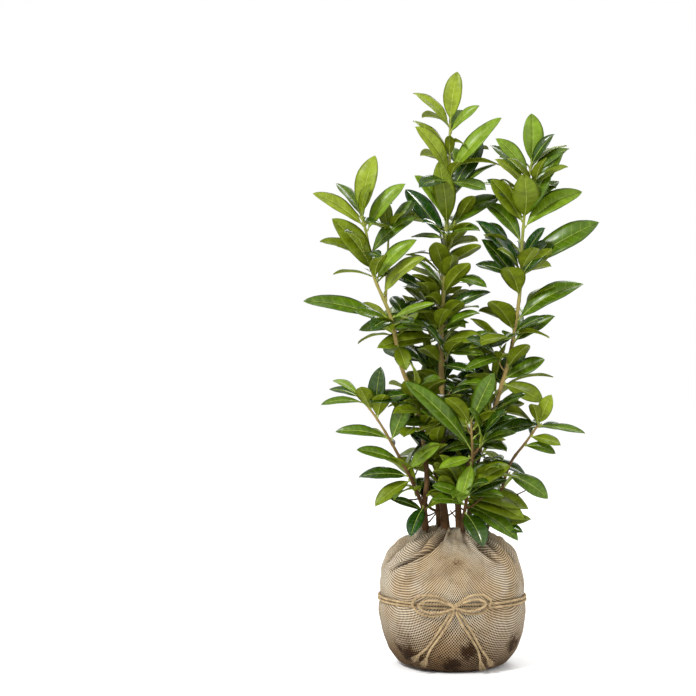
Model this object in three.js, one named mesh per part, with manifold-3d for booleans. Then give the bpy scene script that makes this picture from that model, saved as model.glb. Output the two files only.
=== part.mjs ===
// Cherry laurel sapling with a burlap-wrapped root ball, tied round the middle with a doubled twine bow.
// Millimetres, +Z up. The origin is the middle of the flat underside of the root ball; the bow is on the -Y side.
import * as THREE from "three";
import { mergeVertices } from "three/addons/utils/BufferGeometryUtils.js";
import Module from "manifold-3d";

const wasm = await Module();
wasm.setup();

// ---- driving sizes ----
const GAP = 0.45; // clearance between neighbouring pieces

const BALL_SECTORS = 28; // flats round the root ball
const BALL_PROFILE = [
  // radius and height of the wrapped ball, from the underside to the neck
  [84, 0], [103, 7], [121, 30], [136, 70], [140, 106], [135.5, 129],
  [138, 156], [132, 185], [115, 214], [88, 236], [50, 249],
];
const NECK_DIP = 246; // height of the middle of the neck, between the stems
const FOLDS = 10; // gathers of the cloth running up to the neck
const FOLD_DEPTH = 0.035; // depth of a gather, as a share of the radius

const TWINE = 2.2; // half the thickness of the twine
const BAND_HEIGHTS = { upper: 132.5, lower: 126 };
const KNOT = { x: -4, z: 129, width: 9, height: 8.5, depth: 7, lift: 10 };

const BLADE_DEPTH = 5; // from the face of a leaf to the back of its midrib
const BLADE_WIDTH = 0.33; // width of a leaf as a share of its length
const SHORT_LEAF = 112; // leaves shorter than this have fewer sections
const ARCH = 0.07; // rise of the middle of a leaf above the straight line to its tip
const SLEEVE = 3.2; // leaf bases wrapped round the shoot, outside its bark

// Limbs: [x, y, z] along the pith, half thickness at the foot and at the tip, and extra half thickness of the root flare.
const LIMBS = {
  left_stem: { foot: 5.8, tip: 2.1, flare: 3, path: [[-49, -6, 240], [-53, -9, 300], [-48, -10, 350],
    [-66, -14, 488], [-95, -18, 560], [-118, -22, 661], [-150, -28, 739], [-163, -30, 815], [-172, -31, 848]] },
  centre_stem: { foot: 6.6, tip: 2.1, flare: 3.5, path: [[-10, 6, 240], [-23, 8, 389], [-19, 10, 500],
    [-20, 14, 640], [-12, 16, 750], [-8, 14, 860], [-4, 11, 960], [-3, 9, 1030]] },
  right_stem: { foot: 5.6, tip: 2.1, flare: 3, path: [[14, -10, 240], [13, -10, 328], [38, -8, 393],
    [68, -8, 452], [93, -8, 528], [112, -10, 600], [129, -12, 718], [132, -14, 800], [140, -16, 890], [149, -16, 950]] },
  right_shoot: { foot: 3.8, tip: 1.9, flare: 2, path: [[58, -22, 240], [66, -24, 262], [89, -28, 326],
    [109, -31, 385], [137, -34, 423], [163, -36, 460]] },
  front_shoot: { foot: 4.0, tip: 1.9, flare: 2, path: [[14, -40, 240], [18, -44, 275], [26, -58, 335],
    [33, -72, 400], [30, -84, 470]] },
  back_shoot: { foot: 5.2, tip: 1.9, flare: 2.5, path: [[-22, 38, 240], [-26, 56, 340], [-32, 82, 450],
    [-38, 104, 570], [-34, 122, 680]] },
  back_right_shoot: { foot: 4.8, tip: 1.9, flare: 2, path: [[28, 30, 240], [46, 52, 340], [66, 78, 430],
    [84, 98, 540]] },
  // side limbs, each starting at the bark of the stem that bears it
  left_shoot: { foot: 3.6, tip: 1.8, flare: 0, bearer: "left_stem", path: [[-53, -9, 290], [-74, -14, 343],
    [-106, -22, 404], [-142, -30, 465], [-179, -36, 513]] },
  left_fork: { foot: 3, tip: 1.8, flare: 0, bearer: "left_stem", path: [[-127, -24, 684], [-124, -8, 742], [-120, 6, 818]] },
  centre_fork: { foot: 2.8, tip: 1.7, flare: 0, bearer: "centre_stem", path: [[-11, 16, 772], [0, 0, 806], [5, -8, 842]] },
};

// Leaf sprays. Each leaf: height of its foot on the limb, then how far its tip stands from the foot:
// to the right (+X), forward (-Y) and up (+Z), how far its face turns forward if not by FACE_TURN, and its width as a
// share of its length if not BLADE_WIDTH. `rear` adds that many leaves on the far side and `round` that many all round
// the limb, both by the growing rule below.
const SPRAYS = {
  centre_tip: { limb: "centre_stem", rear: 2, leaves: [[1027, 13, 10, 98], [1019, -65, 20, 68], [1010, 53, 25, 49],
    [1006, 28, -40, 55], [992, 26, 30, -6]] },
  centre_upper: { limb: "centre_stem", rear: 2, leaves: [[929, 95, 20, 110, 0.9, 0.26], [929, -59, 45, 89],
    [957, -65, -15, 82, 0.2], [965, -2, 30, 38], [888, 66, -25, 112], [877, 87, 10, 76, 0.3]] },
  centre_neck: { limb: "centre_stem", rear: 3, leaves: [[832, -17, 35, 120], [834, -57, 40, 93], [805, -78, -30, 99],
    [824, 101, -20, 74], [784, 42, 60, 51], [754, 63, 60, 40]] },
  centre_middle: { limb: "centre_stem", rear: 3, leaves: [[733, -22, 56, 66, 0.9, 0.42], [702, 46, 60, 57, 0.9, 0.36],
    [714, -65, 50, 59, 0.9, 0.24], [693, -61, 60, 48, 0.9, 0.24], [676, -36, 64, 26, 0.9, 0.36],
    [660, 88, 24, 50], [646, 36, 56, 44, 0.9, 0.42]] },
  centre_low: { limb: "centre_stem", rear: 2, leaves: [[640, -155, 20, 4, 0.9, 0.27], [619, -122, 30, -21],
    [628, 68, 44, 40], [604, 74, 60, 18, 0.9, 0.36], [592, 78, 50, -4, 0.9, 0.3], [570, -42, 78, 34, 0.9, 0.36],
    [566, 60, 66, -12, 0.9, 0.34]] },
  centre_base: { limb: "centre_stem", rear: 2, leaves: [[524, -50, 44, 38, 0.9, 0.36], [488, -56, 62, 58, 0.9, 0.36],
    [494, 38, 66, -50, 0.9, 0.46], [480, 30, 90, 36], [456, 52, 60, -14], [448, -70, 56, 10], [376, -44, 52, 30, 0.9, 0.4]] },
  left_tip: { limb: "left_stem", rear: 2, leaves: [[845, 21, 15, 116], [838, 11, 45, 66], [816, 66, 20, 95],
    [826, -97, 10, 65, 0.9, 0.3], [840, -50, -30, 74, 0.2]] },
  left_upper: { limb: "left_stem", rear: 3, leaves: [[742, -74, 40, 99], [773, 82, 10, 76], [725, 70, 30, 80],
    [697, 74, 35, 76, 0.9, 0.36], [729, 15, 70, 47]] },
  left_fork_tip: { limb: "left_fork", rear: 2, leaves: [[814, 49, 20, 63], [810, -10, -30, 80]] },
  left_middle: { limb: "left_stem", rear: 3, leaves: [[649, -166, 10, 42, 0.4, 0.2], [655, 80, 30, 27, 0.9, 0.28],
    [604, 16, 45, -45, 0.9, 0.46], [622, -40, 70, 30]] },
  left_low: { limb: "left_stem", rear: 2, leaves: [[516, -34, 25, -17], [500, 52, 72, 40], [470, -30, 66, 70],
    [446, 16, 66, 34, 0.9, 0.42], [428, 40, 60, 44, 0.9, 0.36]] },
  right_tip: { limb: "right_stem", rear: 2, leaves: [[946, 0, 10, 96, 0.9, 0.4], [944, 36, 30, 58], [942, 66, -10, 48, 0.2],
    [925, 70, 20, 53], [921, -59, 15, 76], [916, -66, -25, 76]] },
  right_upper: { limb: "right_stem", rear: 2, leaves: [[864, 70, 25, 104], [868, 66, -20, 53], [824, 108, 15, 72],
    [900, -62, 15, 55], [888, -93, -10, 27, 0.2], [845, -5, 60, 74, 0.9, 0.5], [834, -63, 25, 82, 0.9, 0.42],
    [848, 40, 45, 84, 0.9, 0.4]] },
  right_middle: { limb: "right_stem", rear: 3, leaves: [[794, -68, -15, 82], [741, -89, 30, 97, 0.9, 0.3],
    [706, -76, 28, 97, 0.9, 0.32], [697, -30, 60, 58, 0.9, 0.5], [752, 144, 20, 84, 0.9, 0.26], [761, 38, 50, 63],
    [733, 51, 60, 51]] },
  right_lower: { limb: "right_stem", rear: 3, leaves: [[649, 120, 20, 78], [610, 76, 30, 50, 0.9, 0.36],
    [625, 61, 60, -2], [630, -50, 60, 62, 0.9, 0.42], [620, -58, 20, -20], [584, -87, 34, -26, 0.9, 0.26]] },
  right_base: { limb: "right_stem", rear: 2, leaves: [[560, 36, 50, 48, 0.9, 0.44], [540, 76, 24, 38, 0.9, 0.44],
    [532, 74, 34, -32, 0.9, 0.4], [512, -66, 60, 36, 0.9, 0.48], [478, 54, 36, 36, 0.9, 0.4], [462, -36, 44, 52, 0.9, 0.44],
    [427, 106, 24, 34, 0.9, 0.36]] },
  right_foot: { limb: "right_stem", rear: 1, leaves: [[322, 128, 40, -18], [312, 120, 52, -34],
    [306, 108, 60, -58], [340, -54, 70, 34]] },
  front_spray: { limb: "front_shoot", rear: 0, leaves: [[408, -128, 20, 128, 0.9, 0.23], [396, -63, 40, -17, 0.9, 0.34],
    [388, -25, 40, -72, 0.9, 0.34], [462, 40, 30, 92], [456, -50, 50, 58], [446, 56, 44, 34, 0.9, 0.4],
    [430, 78, 46, 44]] },
  front_low: { limb: "front_shoot", rear: 0, leaves: [[292, 30, 66, -52, 0.9, 0.46], [306, -66, 44, 12], [336, 70, 44, 50, 0.9, 0.46],
    [326, 60, 54, 6]] },
  left_shoot_tip: { limb: "left_shoot", rear: 1, leaves: [[508, -52, -60, 36, 0.9, 0.2], [505, -60, -30, 16, 0.9, 0.22],
    [496, -82, 20, 0, 0.9, 0.22],
    [480, -22, 44, 48, 0.9, 0.44], [469, 7, 15, 95, 0.9, 0.36], [466, 14, 52, 49, 0.9, 0.42]] },
  left_shoot_low: { limb: "left_shoot", rear: 2, leaves: [[427, -101, 15, 19, 0.9, 0.24], [423, 34, 15, 87, 0.9, 0.4],
    [382, -87, 20, 28, 0.9, 0.26], [368, 58, 36, 54, 0.9, 0.4], [356, -96, 25, 4], [350, -70, 40, -40, 0.9, 0.36],
    [334, -44, 56, -12]] },
  left_hanging: { limb: "left_stem", rear: 1, leaves: [[300, -28, 60, -50, 0.9, 0.36], [290, -66, 20, 26, 0.9, 0.2],
    [292, 58, 46, 36], [318, 40, 58, 12]] },
  right_shoot_tip: { limb: "right_shoot", rear: 2, leaves: [[456, 21, 30, 57, 0.9, 0.42], [455, -15, 50, 46],
    [454, 89, 5, -10, 0.9, 0.22], [450, 61, -35, -4], [433, 51, 50, -11], [416, 57, 30, -11]] },
  right_shoot_low: { limb: "right_shoot", rear: 2, leaves: [[364, 76, 30, -40, 0.9, 0.42], [338, -50, 46, -8],
    [272, 76, 20, 6], [264, 62, 36, -8]] },
  back_tip: { limb: "back_shoot", rear: 0, round: 7, from: 610, to: 672 },
  back_middle: { limb: "back_shoot", rear: 0, round: 6, from: 470, to: 560 },
  back_low: { limb: "back_shoot", rear: 0, round: 5, from: 330, to: 420 },
  back_right_tip: { limb: "back_right_shoot", rear: 0, round: 7, from: 470, to: 532 },
  back_right_low: { limb: "back_right_shoot", rear: 0, round: 5, from: 340, to: 420 },
};
const REAR = { reach: 96, rise: 46, spread: 62 }; // leaves on the far side: mm out, mm up, degrees either way
const FACE_TURN = 0.9; // how far a leaf's face turns forward, against 1 for upward
const EDGE_ON = 0.4; // a leaf that would show less of its face than this shows its back instead,
const BACK_TURN = 0.6; // turned backward by this much
const ROUND = { reach: 88, rise: 44, turn: 137.5 }; // leaves all round: mm out, mm up, degrees between leaves

// ---- solids ----
function solid(geometry) {
  const g = geometry.clone();
  g.deleteAttribute("normal");
  g.deleteAttribute("uv");
  const merged = mergeVertices(g, 1e-3);
  return new wasm.Manifold(
    new wasm.Mesh({
      numProp: 3,
      vertProperties: new Float32Array(merged.attributes.position.array),
      triVerts: new Uint32Array(merged.index.array),
    }),
  );
}

function largest(s) {
  return s.decompose().reduce((a, b) => (b.volume() > a.volume() ? b : a));
}

function geometryOf(s) {
  const m = s.getMesh();
  const g = new THREE.BufferGeometry();
  g.setAttribute("position", new THREE.BufferAttribute(new Float32Array(m.vertProperties), 3));
  g.setIndex(new THREE.BufferAttribute(new Uint32Array(m.triVerts), 1));
  const flat = g.toNonIndexed();
  flat.computeVertexNormals();
  return flat;
}

const group = new THREE.Group();
const LOOKS = {
  bark: new THREE.MeshStandardMaterial({ color: 0x8a6b4a, roughness: 0.8, metalness: 0 }),
  young_bark: new THREE.MeshStandardMaterial({ color: 0x8a8a3c, roughness: 0.65, metalness: 0 }),
  leaves: new THREE.MeshStandardMaterial({ color: 0x3d7a1e, roughness: 0.42, metalness: 0 }),
  young_leaves: new THREE.MeshStandardMaterial({ color: 0x7a9a1e, roughness: 0.42, metalness: 0 }),
  burlap: new THREE.MeshStandardMaterial({ color: 0xb89c74, roughness: 0.95, metalness: 0 }),
  twine: new THREE.MeshStandardMaterial({ color: 0xc09a62, roughness: 0.9, metalness: 0 }),
};

function add(name, s, look) {
  const mesh = new THREE.Mesh(geometryOf(s), LOOKS[look]);
  mesh.name = name;
  group.add(mesh);
}

// ---- root ball ----
// Radius of the wrapped ball at a bearing and height: a rounded profile, gathered toward the neck.
function skinRadius(angle, z) {
  let i = 1;
  while (i < BALL_PROFILE.length - 1 && BALL_PROFILE[i][1] < z) i++;
  const [r0, z0] = BALL_PROFILE[i - 1];
  const [r1, z1] = BALL_PROFILE[i];
  const r = r0 + ((r1 - r0) * (z - z0)) / (z1 - z0);
  return r * folds(angle, z);
}

function folds(angle, z) {
  const toNeck = THREE.MathUtils.smoothstep(z, 150, 245);
  const toFoot = 1 - THREE.MathUtils.smoothstep(z, 0, 90);
  const gather = Math.cos(FOLDS * angle + 0.9) + 0.5 * Math.cos(5 * angle + 2.1);
  return 1 + FOLD_DEPTH * (toNeck - 0.25 * toFoot) * gather + 0.008 * Math.cos(3 * angle + z / 70);
}

function ballSolid(grow) {
  const points = [new THREE.Vector2(0, -grow)];
  for (const [r, z] of BALL_PROFILE) points.push(new THREE.Vector2(r + grow, z === 0 ? -grow : z + grow));
  points.push(new THREE.Vector2(0, NECK_DIP + grow));
  const g = new THREE.LatheGeometry(points, BALL_SECTORS);
  g.rotateX(Math.PI / 2);
  const p = g.attributes.position;
  for (let i = 0; i < p.count; i++) {
    const angle = Math.atan2(p.getY(i), p.getX(i));
    const f = folds(angle, THREE.MathUtils.clamp(p.getZ(i), 0, 256));
    p.setXY(i, p.getX(i) * f, p.getY(i) * f);
  }
  return solid(g);
}

// ---- limbs ----
const curves = {};
for (const [name, limb] of Object.entries(LIMBS))
  curves[name] = new THREE.CatmullRomCurve3(limb.path.map((q) => new THREE.Vector3(...q)), false, "centripetal");

function limbRadius(limb, u) {
  return limb.foot + (limb.tip - limb.foot) * u + limb.flare * Math.exp(-u * 22);
}

// A limb has level rings of six points along its curve; `grow` thickens it, `from` and `to` cut it to a part.
function limbSolid(name, grow = 0, from = 0, to = 1) {
  const limb = LIMBS[name];
  const steps = Math.max(1, Math.round(curves[name].getLength() * (to - from) / 75));
  const g = new THREE.CylinderGeometry(1, 1, 1, 6, steps);
  g.rotateX(Math.PI / 2);
  const p = g.attributes.position;
  for (let i = 0; i < p.count; i++) {
    const share = THREE.MathUtils.clamp(p.getZ(i) + 0.5, 0, 1);
    const u = from + (to - from) * share;
    const c = curves[name].getPoint(u);
    const r = limbRadius(limb, u) + grow;
    const end = share < 1e-4 ? -grow : share > 1 - 1e-4 ? grow : 0;
    p.setXYZ(i, c.x + p.getX(i) * r, c.y + p.getY(i) * r, c.z + end);
  }
  return solid(g);
}

// Share of a limb's curve at a height.
function shareAt(name, z) {
  let lo = 0;
  let hi = 1;
  for (let k = 0; k < 30; k++) {
    const mid = (lo + hi) / 2;
    if (curves[name].getPoint(mid).z < z) lo = mid;
    else hi = mid;
  }
  return (lo + hi) / 2;
}

// ---- leaves ----
// One leaf: a pointed, arched blade, flat above and keeled below, with three sections between foot and tip,
// or two if it's short.
const BLADE = { stations: [1, 0.8, 0.54, 0.27, 0], widths: [0, 0.66, 1, 0.6, 0] };
const PLAIN_BLADE = { stations: [1, 0.68, 0.3, 0], widths: [0, 0.92, 0.78, 0] };

function leafSolid(foot, reach, turn, width, grow) {
  const length = reach.length();
  const { stations, widths } = length < SHORT_LEAF ? PLAIN_BLADE : BLADE;
  const sections = stations.length - 1;
  const along = reach.clone().normalize();
  let side = along.clone().cross(new THREE.Vector3(0, -turn, 1)).normalize();
  let face = side.clone().cross(along).normalize();
  if (turn === FACE_TURN && Math.abs(face.y) < EDGE_ON) {
    side = along.clone().cross(new THREE.Vector3(0, BACK_TURN, 1)).normalize();
    face = side.clone().cross(along).normalize();
  }
  const halfWidth = THREE.MathUtils.clamp(length * width, 18, 46) / 2;
  const edgeGrow = grow * 7; // a thin edge has to move out further than its faces for the same clearance
  const g = new THREE.SphereGeometry(1, 3, sections);
  const p = g.attributes.position;
  for (let i = 0; i < p.count; i++) {
    const ring = Math.round((Math.acos(THREE.MathUtils.clamp(p.getY(i), -1, 1)) / Math.PI) * sections);
    const t = stations[ring];
    const pointed = widths[ring] === 0;
    const keel = p.getX(i) < -0.1;
    const across = pointed || keel ? 0 : -Math.sign(p.getZ(i)) * (widths[ring] * halfWidth + edgeGrow);
    const deep = pointed ? 0 : keel ? -BLADE_DEPTH - grow : grow;
    const q = foot.clone()
      .addScaledVector(reach, t)
      .addScaledVector(along, ring === 0 ? grow : 0)
      .addScaledVector(face, ARCH * length * 4 * t * (1 - t) + deep)
      .addScaledVector(side, across);
    p.setXYZ(i, q.x, q.y, q.z);
  }
  return solid(g);
}

// Where the leaves of a spray stand: the rows given, then the far-side and all-round ones.
function leavesOf(spray) {
  const rows = (spray.leaves || []).map((row) => [...row]);
  const heights = rows.map((row) => row[0]);
  const low = spray.from ?? Math.min(...heights);
  const high = spray.to ?? Math.max(...heights);
  for (let k = 0; k < (spray.rear || 0); k++) {
    const share = (k + 0.5) / spray.rear;
    const bearing = THREE.MathUtils.degToRad((share - 0.5) * 2 * REAR.spread);
    rows.push([low + (high - low) * (1 - share * 0.8), REAR.reach * Math.sin(bearing), -REAR.reach * Math.cos(bearing),
      REAR.rise * (0.7 + 0.5 * (k % 2)), -FACE_TURN]);
  }
  for (let k = 0; k < (spray.round || 0); k++) {
    const share = k / (spray.round - 1);
    const bearing = THREE.MathUtils.degToRad(40 + ROUND.turn * k);
    const reach = ROUND.reach * (1 - 0.35 * share);
    rows.push([low + (high - low) * share, reach * Math.cos(bearing), reach * Math.sin(bearing),
      ROUND.rise * (0.5 + share), -FACE_TURN]);
  }
  return rows;
}

function spraySolid(spray, grow) {
  const rows = leavesOf(spray);
  const heights = rows.map((row) => row[0]);
  const curve = curves[spray.limb];
  const from = shareAt(spray.limb, Math.min(...heights) - 5);
  const to = shareAt(spray.limb, Math.max(...heights) + 6);
  const atTip = to > 0.985;
  let s = limbSolid(spray.limb, SLEEVE + grow, from, atTip ? 1 : to);
  for (const [z, right, forward, rise, turn = FACE_TURN, width = BLADE_WIDTH] of rows) {
    const foot = curve.getPoint(shareAt(spray.limb, z));
    s = s.add(leafSolid(foot, new THREE.Vector3(right, -forward, rise), turn, width, grow));
  }
  return s;
}

// ---- twine ----
// A point in front of the ball: x and z as seen from the front, `lift` from the cloth to the middle of the twine.
function before(x, z, lift) {
  const r = skinRadius(-Math.PI / 2 + x / 140, z) + lift;
  return new THREE.Vector3(x, -Math.sqrt(r * r - x * x), z);
}

function twineSolid(route, grow = 0) {
  const curve = new THREE.CatmullRomCurve3(route.map((q) => before(...q)), false, "centripetal");
  const ring = new THREE.Shape().absarc(0, 0, TWINE + grow, 0, Math.PI * 2, false);
  return solid(new THREE.ExtrudeGeometry(ring, {
    steps: route.length * 2 - 2, curveSegments: 2, bevelEnabled: false, extrudePath: curve,
  }));
}

function bandSolid(height, grow = 0) {
  const g = new THREE.TorusGeometry(100, 10, 4, BALL_SECTORS);
  const p = g.attributes.position;
  for (let i = 0; i < p.count; i++) {
    const angle = Math.atan2(p.getY(i), p.getX(i));
    const out = (Math.hypot(p.getX(i), p.getY(i)) - 100) / 10;
    const up = p.getZ(i) / 10;
    const r = skinRadius(angle, height) + GAP + 0.9 + TWINE + out * (TWINE + grow);
    p.setXYZ(i, r * Math.cos(angle), r * Math.sin(angle), height + up * (TWINE + grow));
  }
  return solid(g);
}

function knotSolid(grow = 0) {
  const g = new THREE.SphereGeometry(1, 7, 5);
  const c = before(KNOT.x, KNOT.z, KNOT.lift);
  g.scale(KNOT.width + grow, KNOT.depth + grow, KNOT.height + grow);
  g.translate(c.x, c.y, c.z);
  return solid(g);
}

// Bow: two loops and two tails, each doubled. [x, z, lift] along each strand.
const BOW = {
  bow_loop_left_outer: [[-6, 132, 8], [-38, 148, 9], [-70, 146, 10], [-80, 131, 10], [-66, 116, 10], [-36, 114, 9], [-6, 125, 8]],
  bow_loop_left_inner: [[-6, 131, 14], [-34, 141, 15], [-60, 139, 16], [-69, 130, 16], [-58, 121, 16], [-34, 120, 15], [-6, 127, 14]],
  bow_loop_right_outer: [[-2, 132, 8], [24, 149, 9], [50, 150, 10], [63, 137, 10], [50, 121, 10], [24, 117, 9], [-2, 126, 8]],
  bow_loop_right_inner: [[-2, 131, 14], [22, 142, 15], [42, 143, 16], [53, 135, 16], [43, 127, 16], [22, 123, 15], [-2, 128, 14]],
  bow_tail_left_long: [[-7, 124, 9], [-19, 106, 5], [-37, 77, 3.4], [-53, 52, 3.4], [-66, 38, 3.6]],
  bow_tail_left_short: [[-5, 122, 14], [-14, 103, 9.5], [-32, 73, 4], [-47, 49, 3.6], [-53, 33, 3.6]],
  bow_tail_right_long: [[-1, 124, 9], [13, 106, 5], [31, 77, 3.4], [46, 49, 3.4], [58, 31, 3.6]],
  bow_tail_right_short: [[-3, 122, 14], [7, 102, 9.5], [26, 72, 4], [40, 46, 3.6], [45, 27, 3.6]],
};

// ---- assembly ----
const stemsWide = wasm.Manifold.union(Object.keys(LIMBS).map((name) => limbSolid(name, GAP)));
const ballWide = ballSolid(GAP);

const rootStems = Object.keys(LIMBS).filter((name) => !LIMBS[name].bearer);
let ball = ballSolid(0);
for (const name of rootStems) ball = ball.subtract(limbSolid(name, GAP));
add("root_ball", largest(ball), "burlap");

for (const name of Object.keys(LIMBS)) {
  const bearer = LIMBS[name].bearer;
  const s = bearer ? limbSolid(name).subtract(limbSolid(bearer, GAP)) : limbSolid(name);
  add(name, largest(s), bearer ? "young_bark" : "bark");
}

const bands = ["upper", "lower"].map((side) => bandSolid(BAND_HEIGHTS[side], GAP));
for (const side of ["upper", "lower"]) add("twine_band_" + side, bandSolid(BAND_HEIGHTS[side]), "twine");
add("bow_knot", largest(knotSolid().subtract(bands[0]).subtract(bands[1]).subtract(ballWide)), "twine");
let tied = knotSolid(GAP).add(bands[0]).add(bands[1]).add(ballWide);
for (const [name, route] of Object.entries(BOW)) {
  add(name, largest(twineSolid(route).subtract(tied)), "twine");
  tied = tied.add(twineSolid(route, GAP));
}

// Each mass of leaves is cut round the limbs, the ball and the masses before it, so all keep a gap.
let taken = stemsWide.add(ballWide);
for (const [name, spray] of Object.entries(SPRAYS)) {
  const s = largest(largest(spraySolid(spray, 0).subtract(taken)).simplify(0.3));
  add("leaves_" + name, s, name.endsWith("tip") ? "young_leaves" : "leaves");
  taken = taken.add(spraySolid(spray, GAP));
}

export default group;
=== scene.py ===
"""Cherry laurel sapling with a burlap-wrapped root ball, tied with a doubled jute bow.

Sizes are in metres, +Z up, the bow on the -Y side. Tables of routes and leaves are in millimetres.
"""
import math
import random

import bpy
import numpy as np
from bpy.props import FloatProperty, FloatVectorProperty, IntProperty, PointerProperty
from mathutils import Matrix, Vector, noise

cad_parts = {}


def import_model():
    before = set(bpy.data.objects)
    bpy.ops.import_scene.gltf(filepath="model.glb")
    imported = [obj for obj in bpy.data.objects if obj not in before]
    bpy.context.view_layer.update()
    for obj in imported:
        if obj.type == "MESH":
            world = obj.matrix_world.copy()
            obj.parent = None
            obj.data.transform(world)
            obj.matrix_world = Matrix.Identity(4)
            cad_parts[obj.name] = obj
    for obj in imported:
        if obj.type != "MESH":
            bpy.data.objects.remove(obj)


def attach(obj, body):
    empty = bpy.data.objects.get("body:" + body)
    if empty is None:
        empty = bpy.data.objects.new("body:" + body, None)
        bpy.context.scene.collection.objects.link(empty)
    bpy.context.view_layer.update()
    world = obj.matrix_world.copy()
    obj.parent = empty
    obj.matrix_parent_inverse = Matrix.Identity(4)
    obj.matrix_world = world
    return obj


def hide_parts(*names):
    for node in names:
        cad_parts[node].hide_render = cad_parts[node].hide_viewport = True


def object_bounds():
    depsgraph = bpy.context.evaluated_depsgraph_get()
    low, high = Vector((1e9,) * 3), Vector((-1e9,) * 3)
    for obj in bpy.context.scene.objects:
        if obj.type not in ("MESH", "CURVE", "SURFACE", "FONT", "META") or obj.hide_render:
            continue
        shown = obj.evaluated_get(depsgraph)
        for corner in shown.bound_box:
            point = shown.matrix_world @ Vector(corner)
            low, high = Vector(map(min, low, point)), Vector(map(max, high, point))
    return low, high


bl_info = {
    "name": "Laurel Sapling with Root Ball",
    "version": (1, 0, 0),
    "blender": (4, 5, 0),
    "location": "View3D > Sidebar > Sapling",
    "description": "Builds a leafy laurel sapling on a burlap root ball tied with twine",
    "category": "Object",
}

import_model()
CAD_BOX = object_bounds()
MM = 0.001


# ---------------------------------------------------------------- tables, in millimetres

# Wrapped ball: radius and height from the underside to the neck.
BALL_PROFILE = [
    (0, 0), (60, 0), (84, 0.4), (103, 7), (121, 30), (136, 70), (140, 106), (135.5, 129), (138, 156),
    (132, 185), (115, 214), (88, 236), (66, 245), (48, 249), (36, 250), (24, 249), (12, 247), (0, 246),
]
FOLDS = 10

# Limbs: points along the pith, half thickness at foot and tip, extra half thickness at the root flare.
LIMBS = {
    "left_stem": (5.8, 2.1, 3, [
        (-49, -6, 240), (-53, -9, 300), (-48, -10, 350), (-66, -14, 488), (-95, -18, 560), (-118, -22, 661),
        (-150, -28, 739), (-163, -30, 815), (-172, -31, 848)]),
    "centre_stem": (6.6, 2.1, 3.5, [
        (-10, 6, 240), (-23, 8, 389), (-19, 10, 500), (-20, 14, 640), (-12, 16, 750), (-8, 14, 860),
        (-4, 11, 960), (-3, 9, 1030)]),
    "right_stem": (5.6, 2.1, 3, [
        (14, -10, 240), (13, -10, 328), (38, -8, 393), (68, -8, 452), (93, -8, 528), (112, -10, 600),
        (129, -12, 718), (132, -14, 800), (140, -16, 890), (149, -16, 950)]),
    "right_shoot": (3.8, 1.9, 2, [
        (58, -22, 240), (66, -24, 262), (89, -28, 326), (109, -31, 385), (137, -34, 423), (163, -36, 460)]),
    "front_shoot": (4.0, 1.9, 2, [
        (14, -40, 240), (18, -44, 275), (26, -58, 335), (33, -72, 400), (30, -84, 470)]),
    "back_shoot": (5.2, 1.9, 2.5, [
        (-22, 38, 240), (-26, 56, 340), (-32, 82, 450), (-38, 104, 570), (-34, 122, 680)]),
    "back_right_shoot": (4.8, 1.9, 2, [(28, 30, 240), (46, 52, 340), (66, 78, 430), (84, 98, 540)]),
    "left_shoot": (3.6, 1.8, 0, [
        (-53, -9, 290), (-74, -14, 343), (-106, -22, 404), (-142, -30, 465), (-179, -36, 513)]),
    "left_fork": (3, 1.8, 0, [(-127, -24, 684), (-124, -8, 742), (-120, 6, 818)]),
    "centre_fork": (2.8, 1.7, 0, [(-11, 16, 772), (0, 0, 806), (5, -8, 842)]),
}

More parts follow.
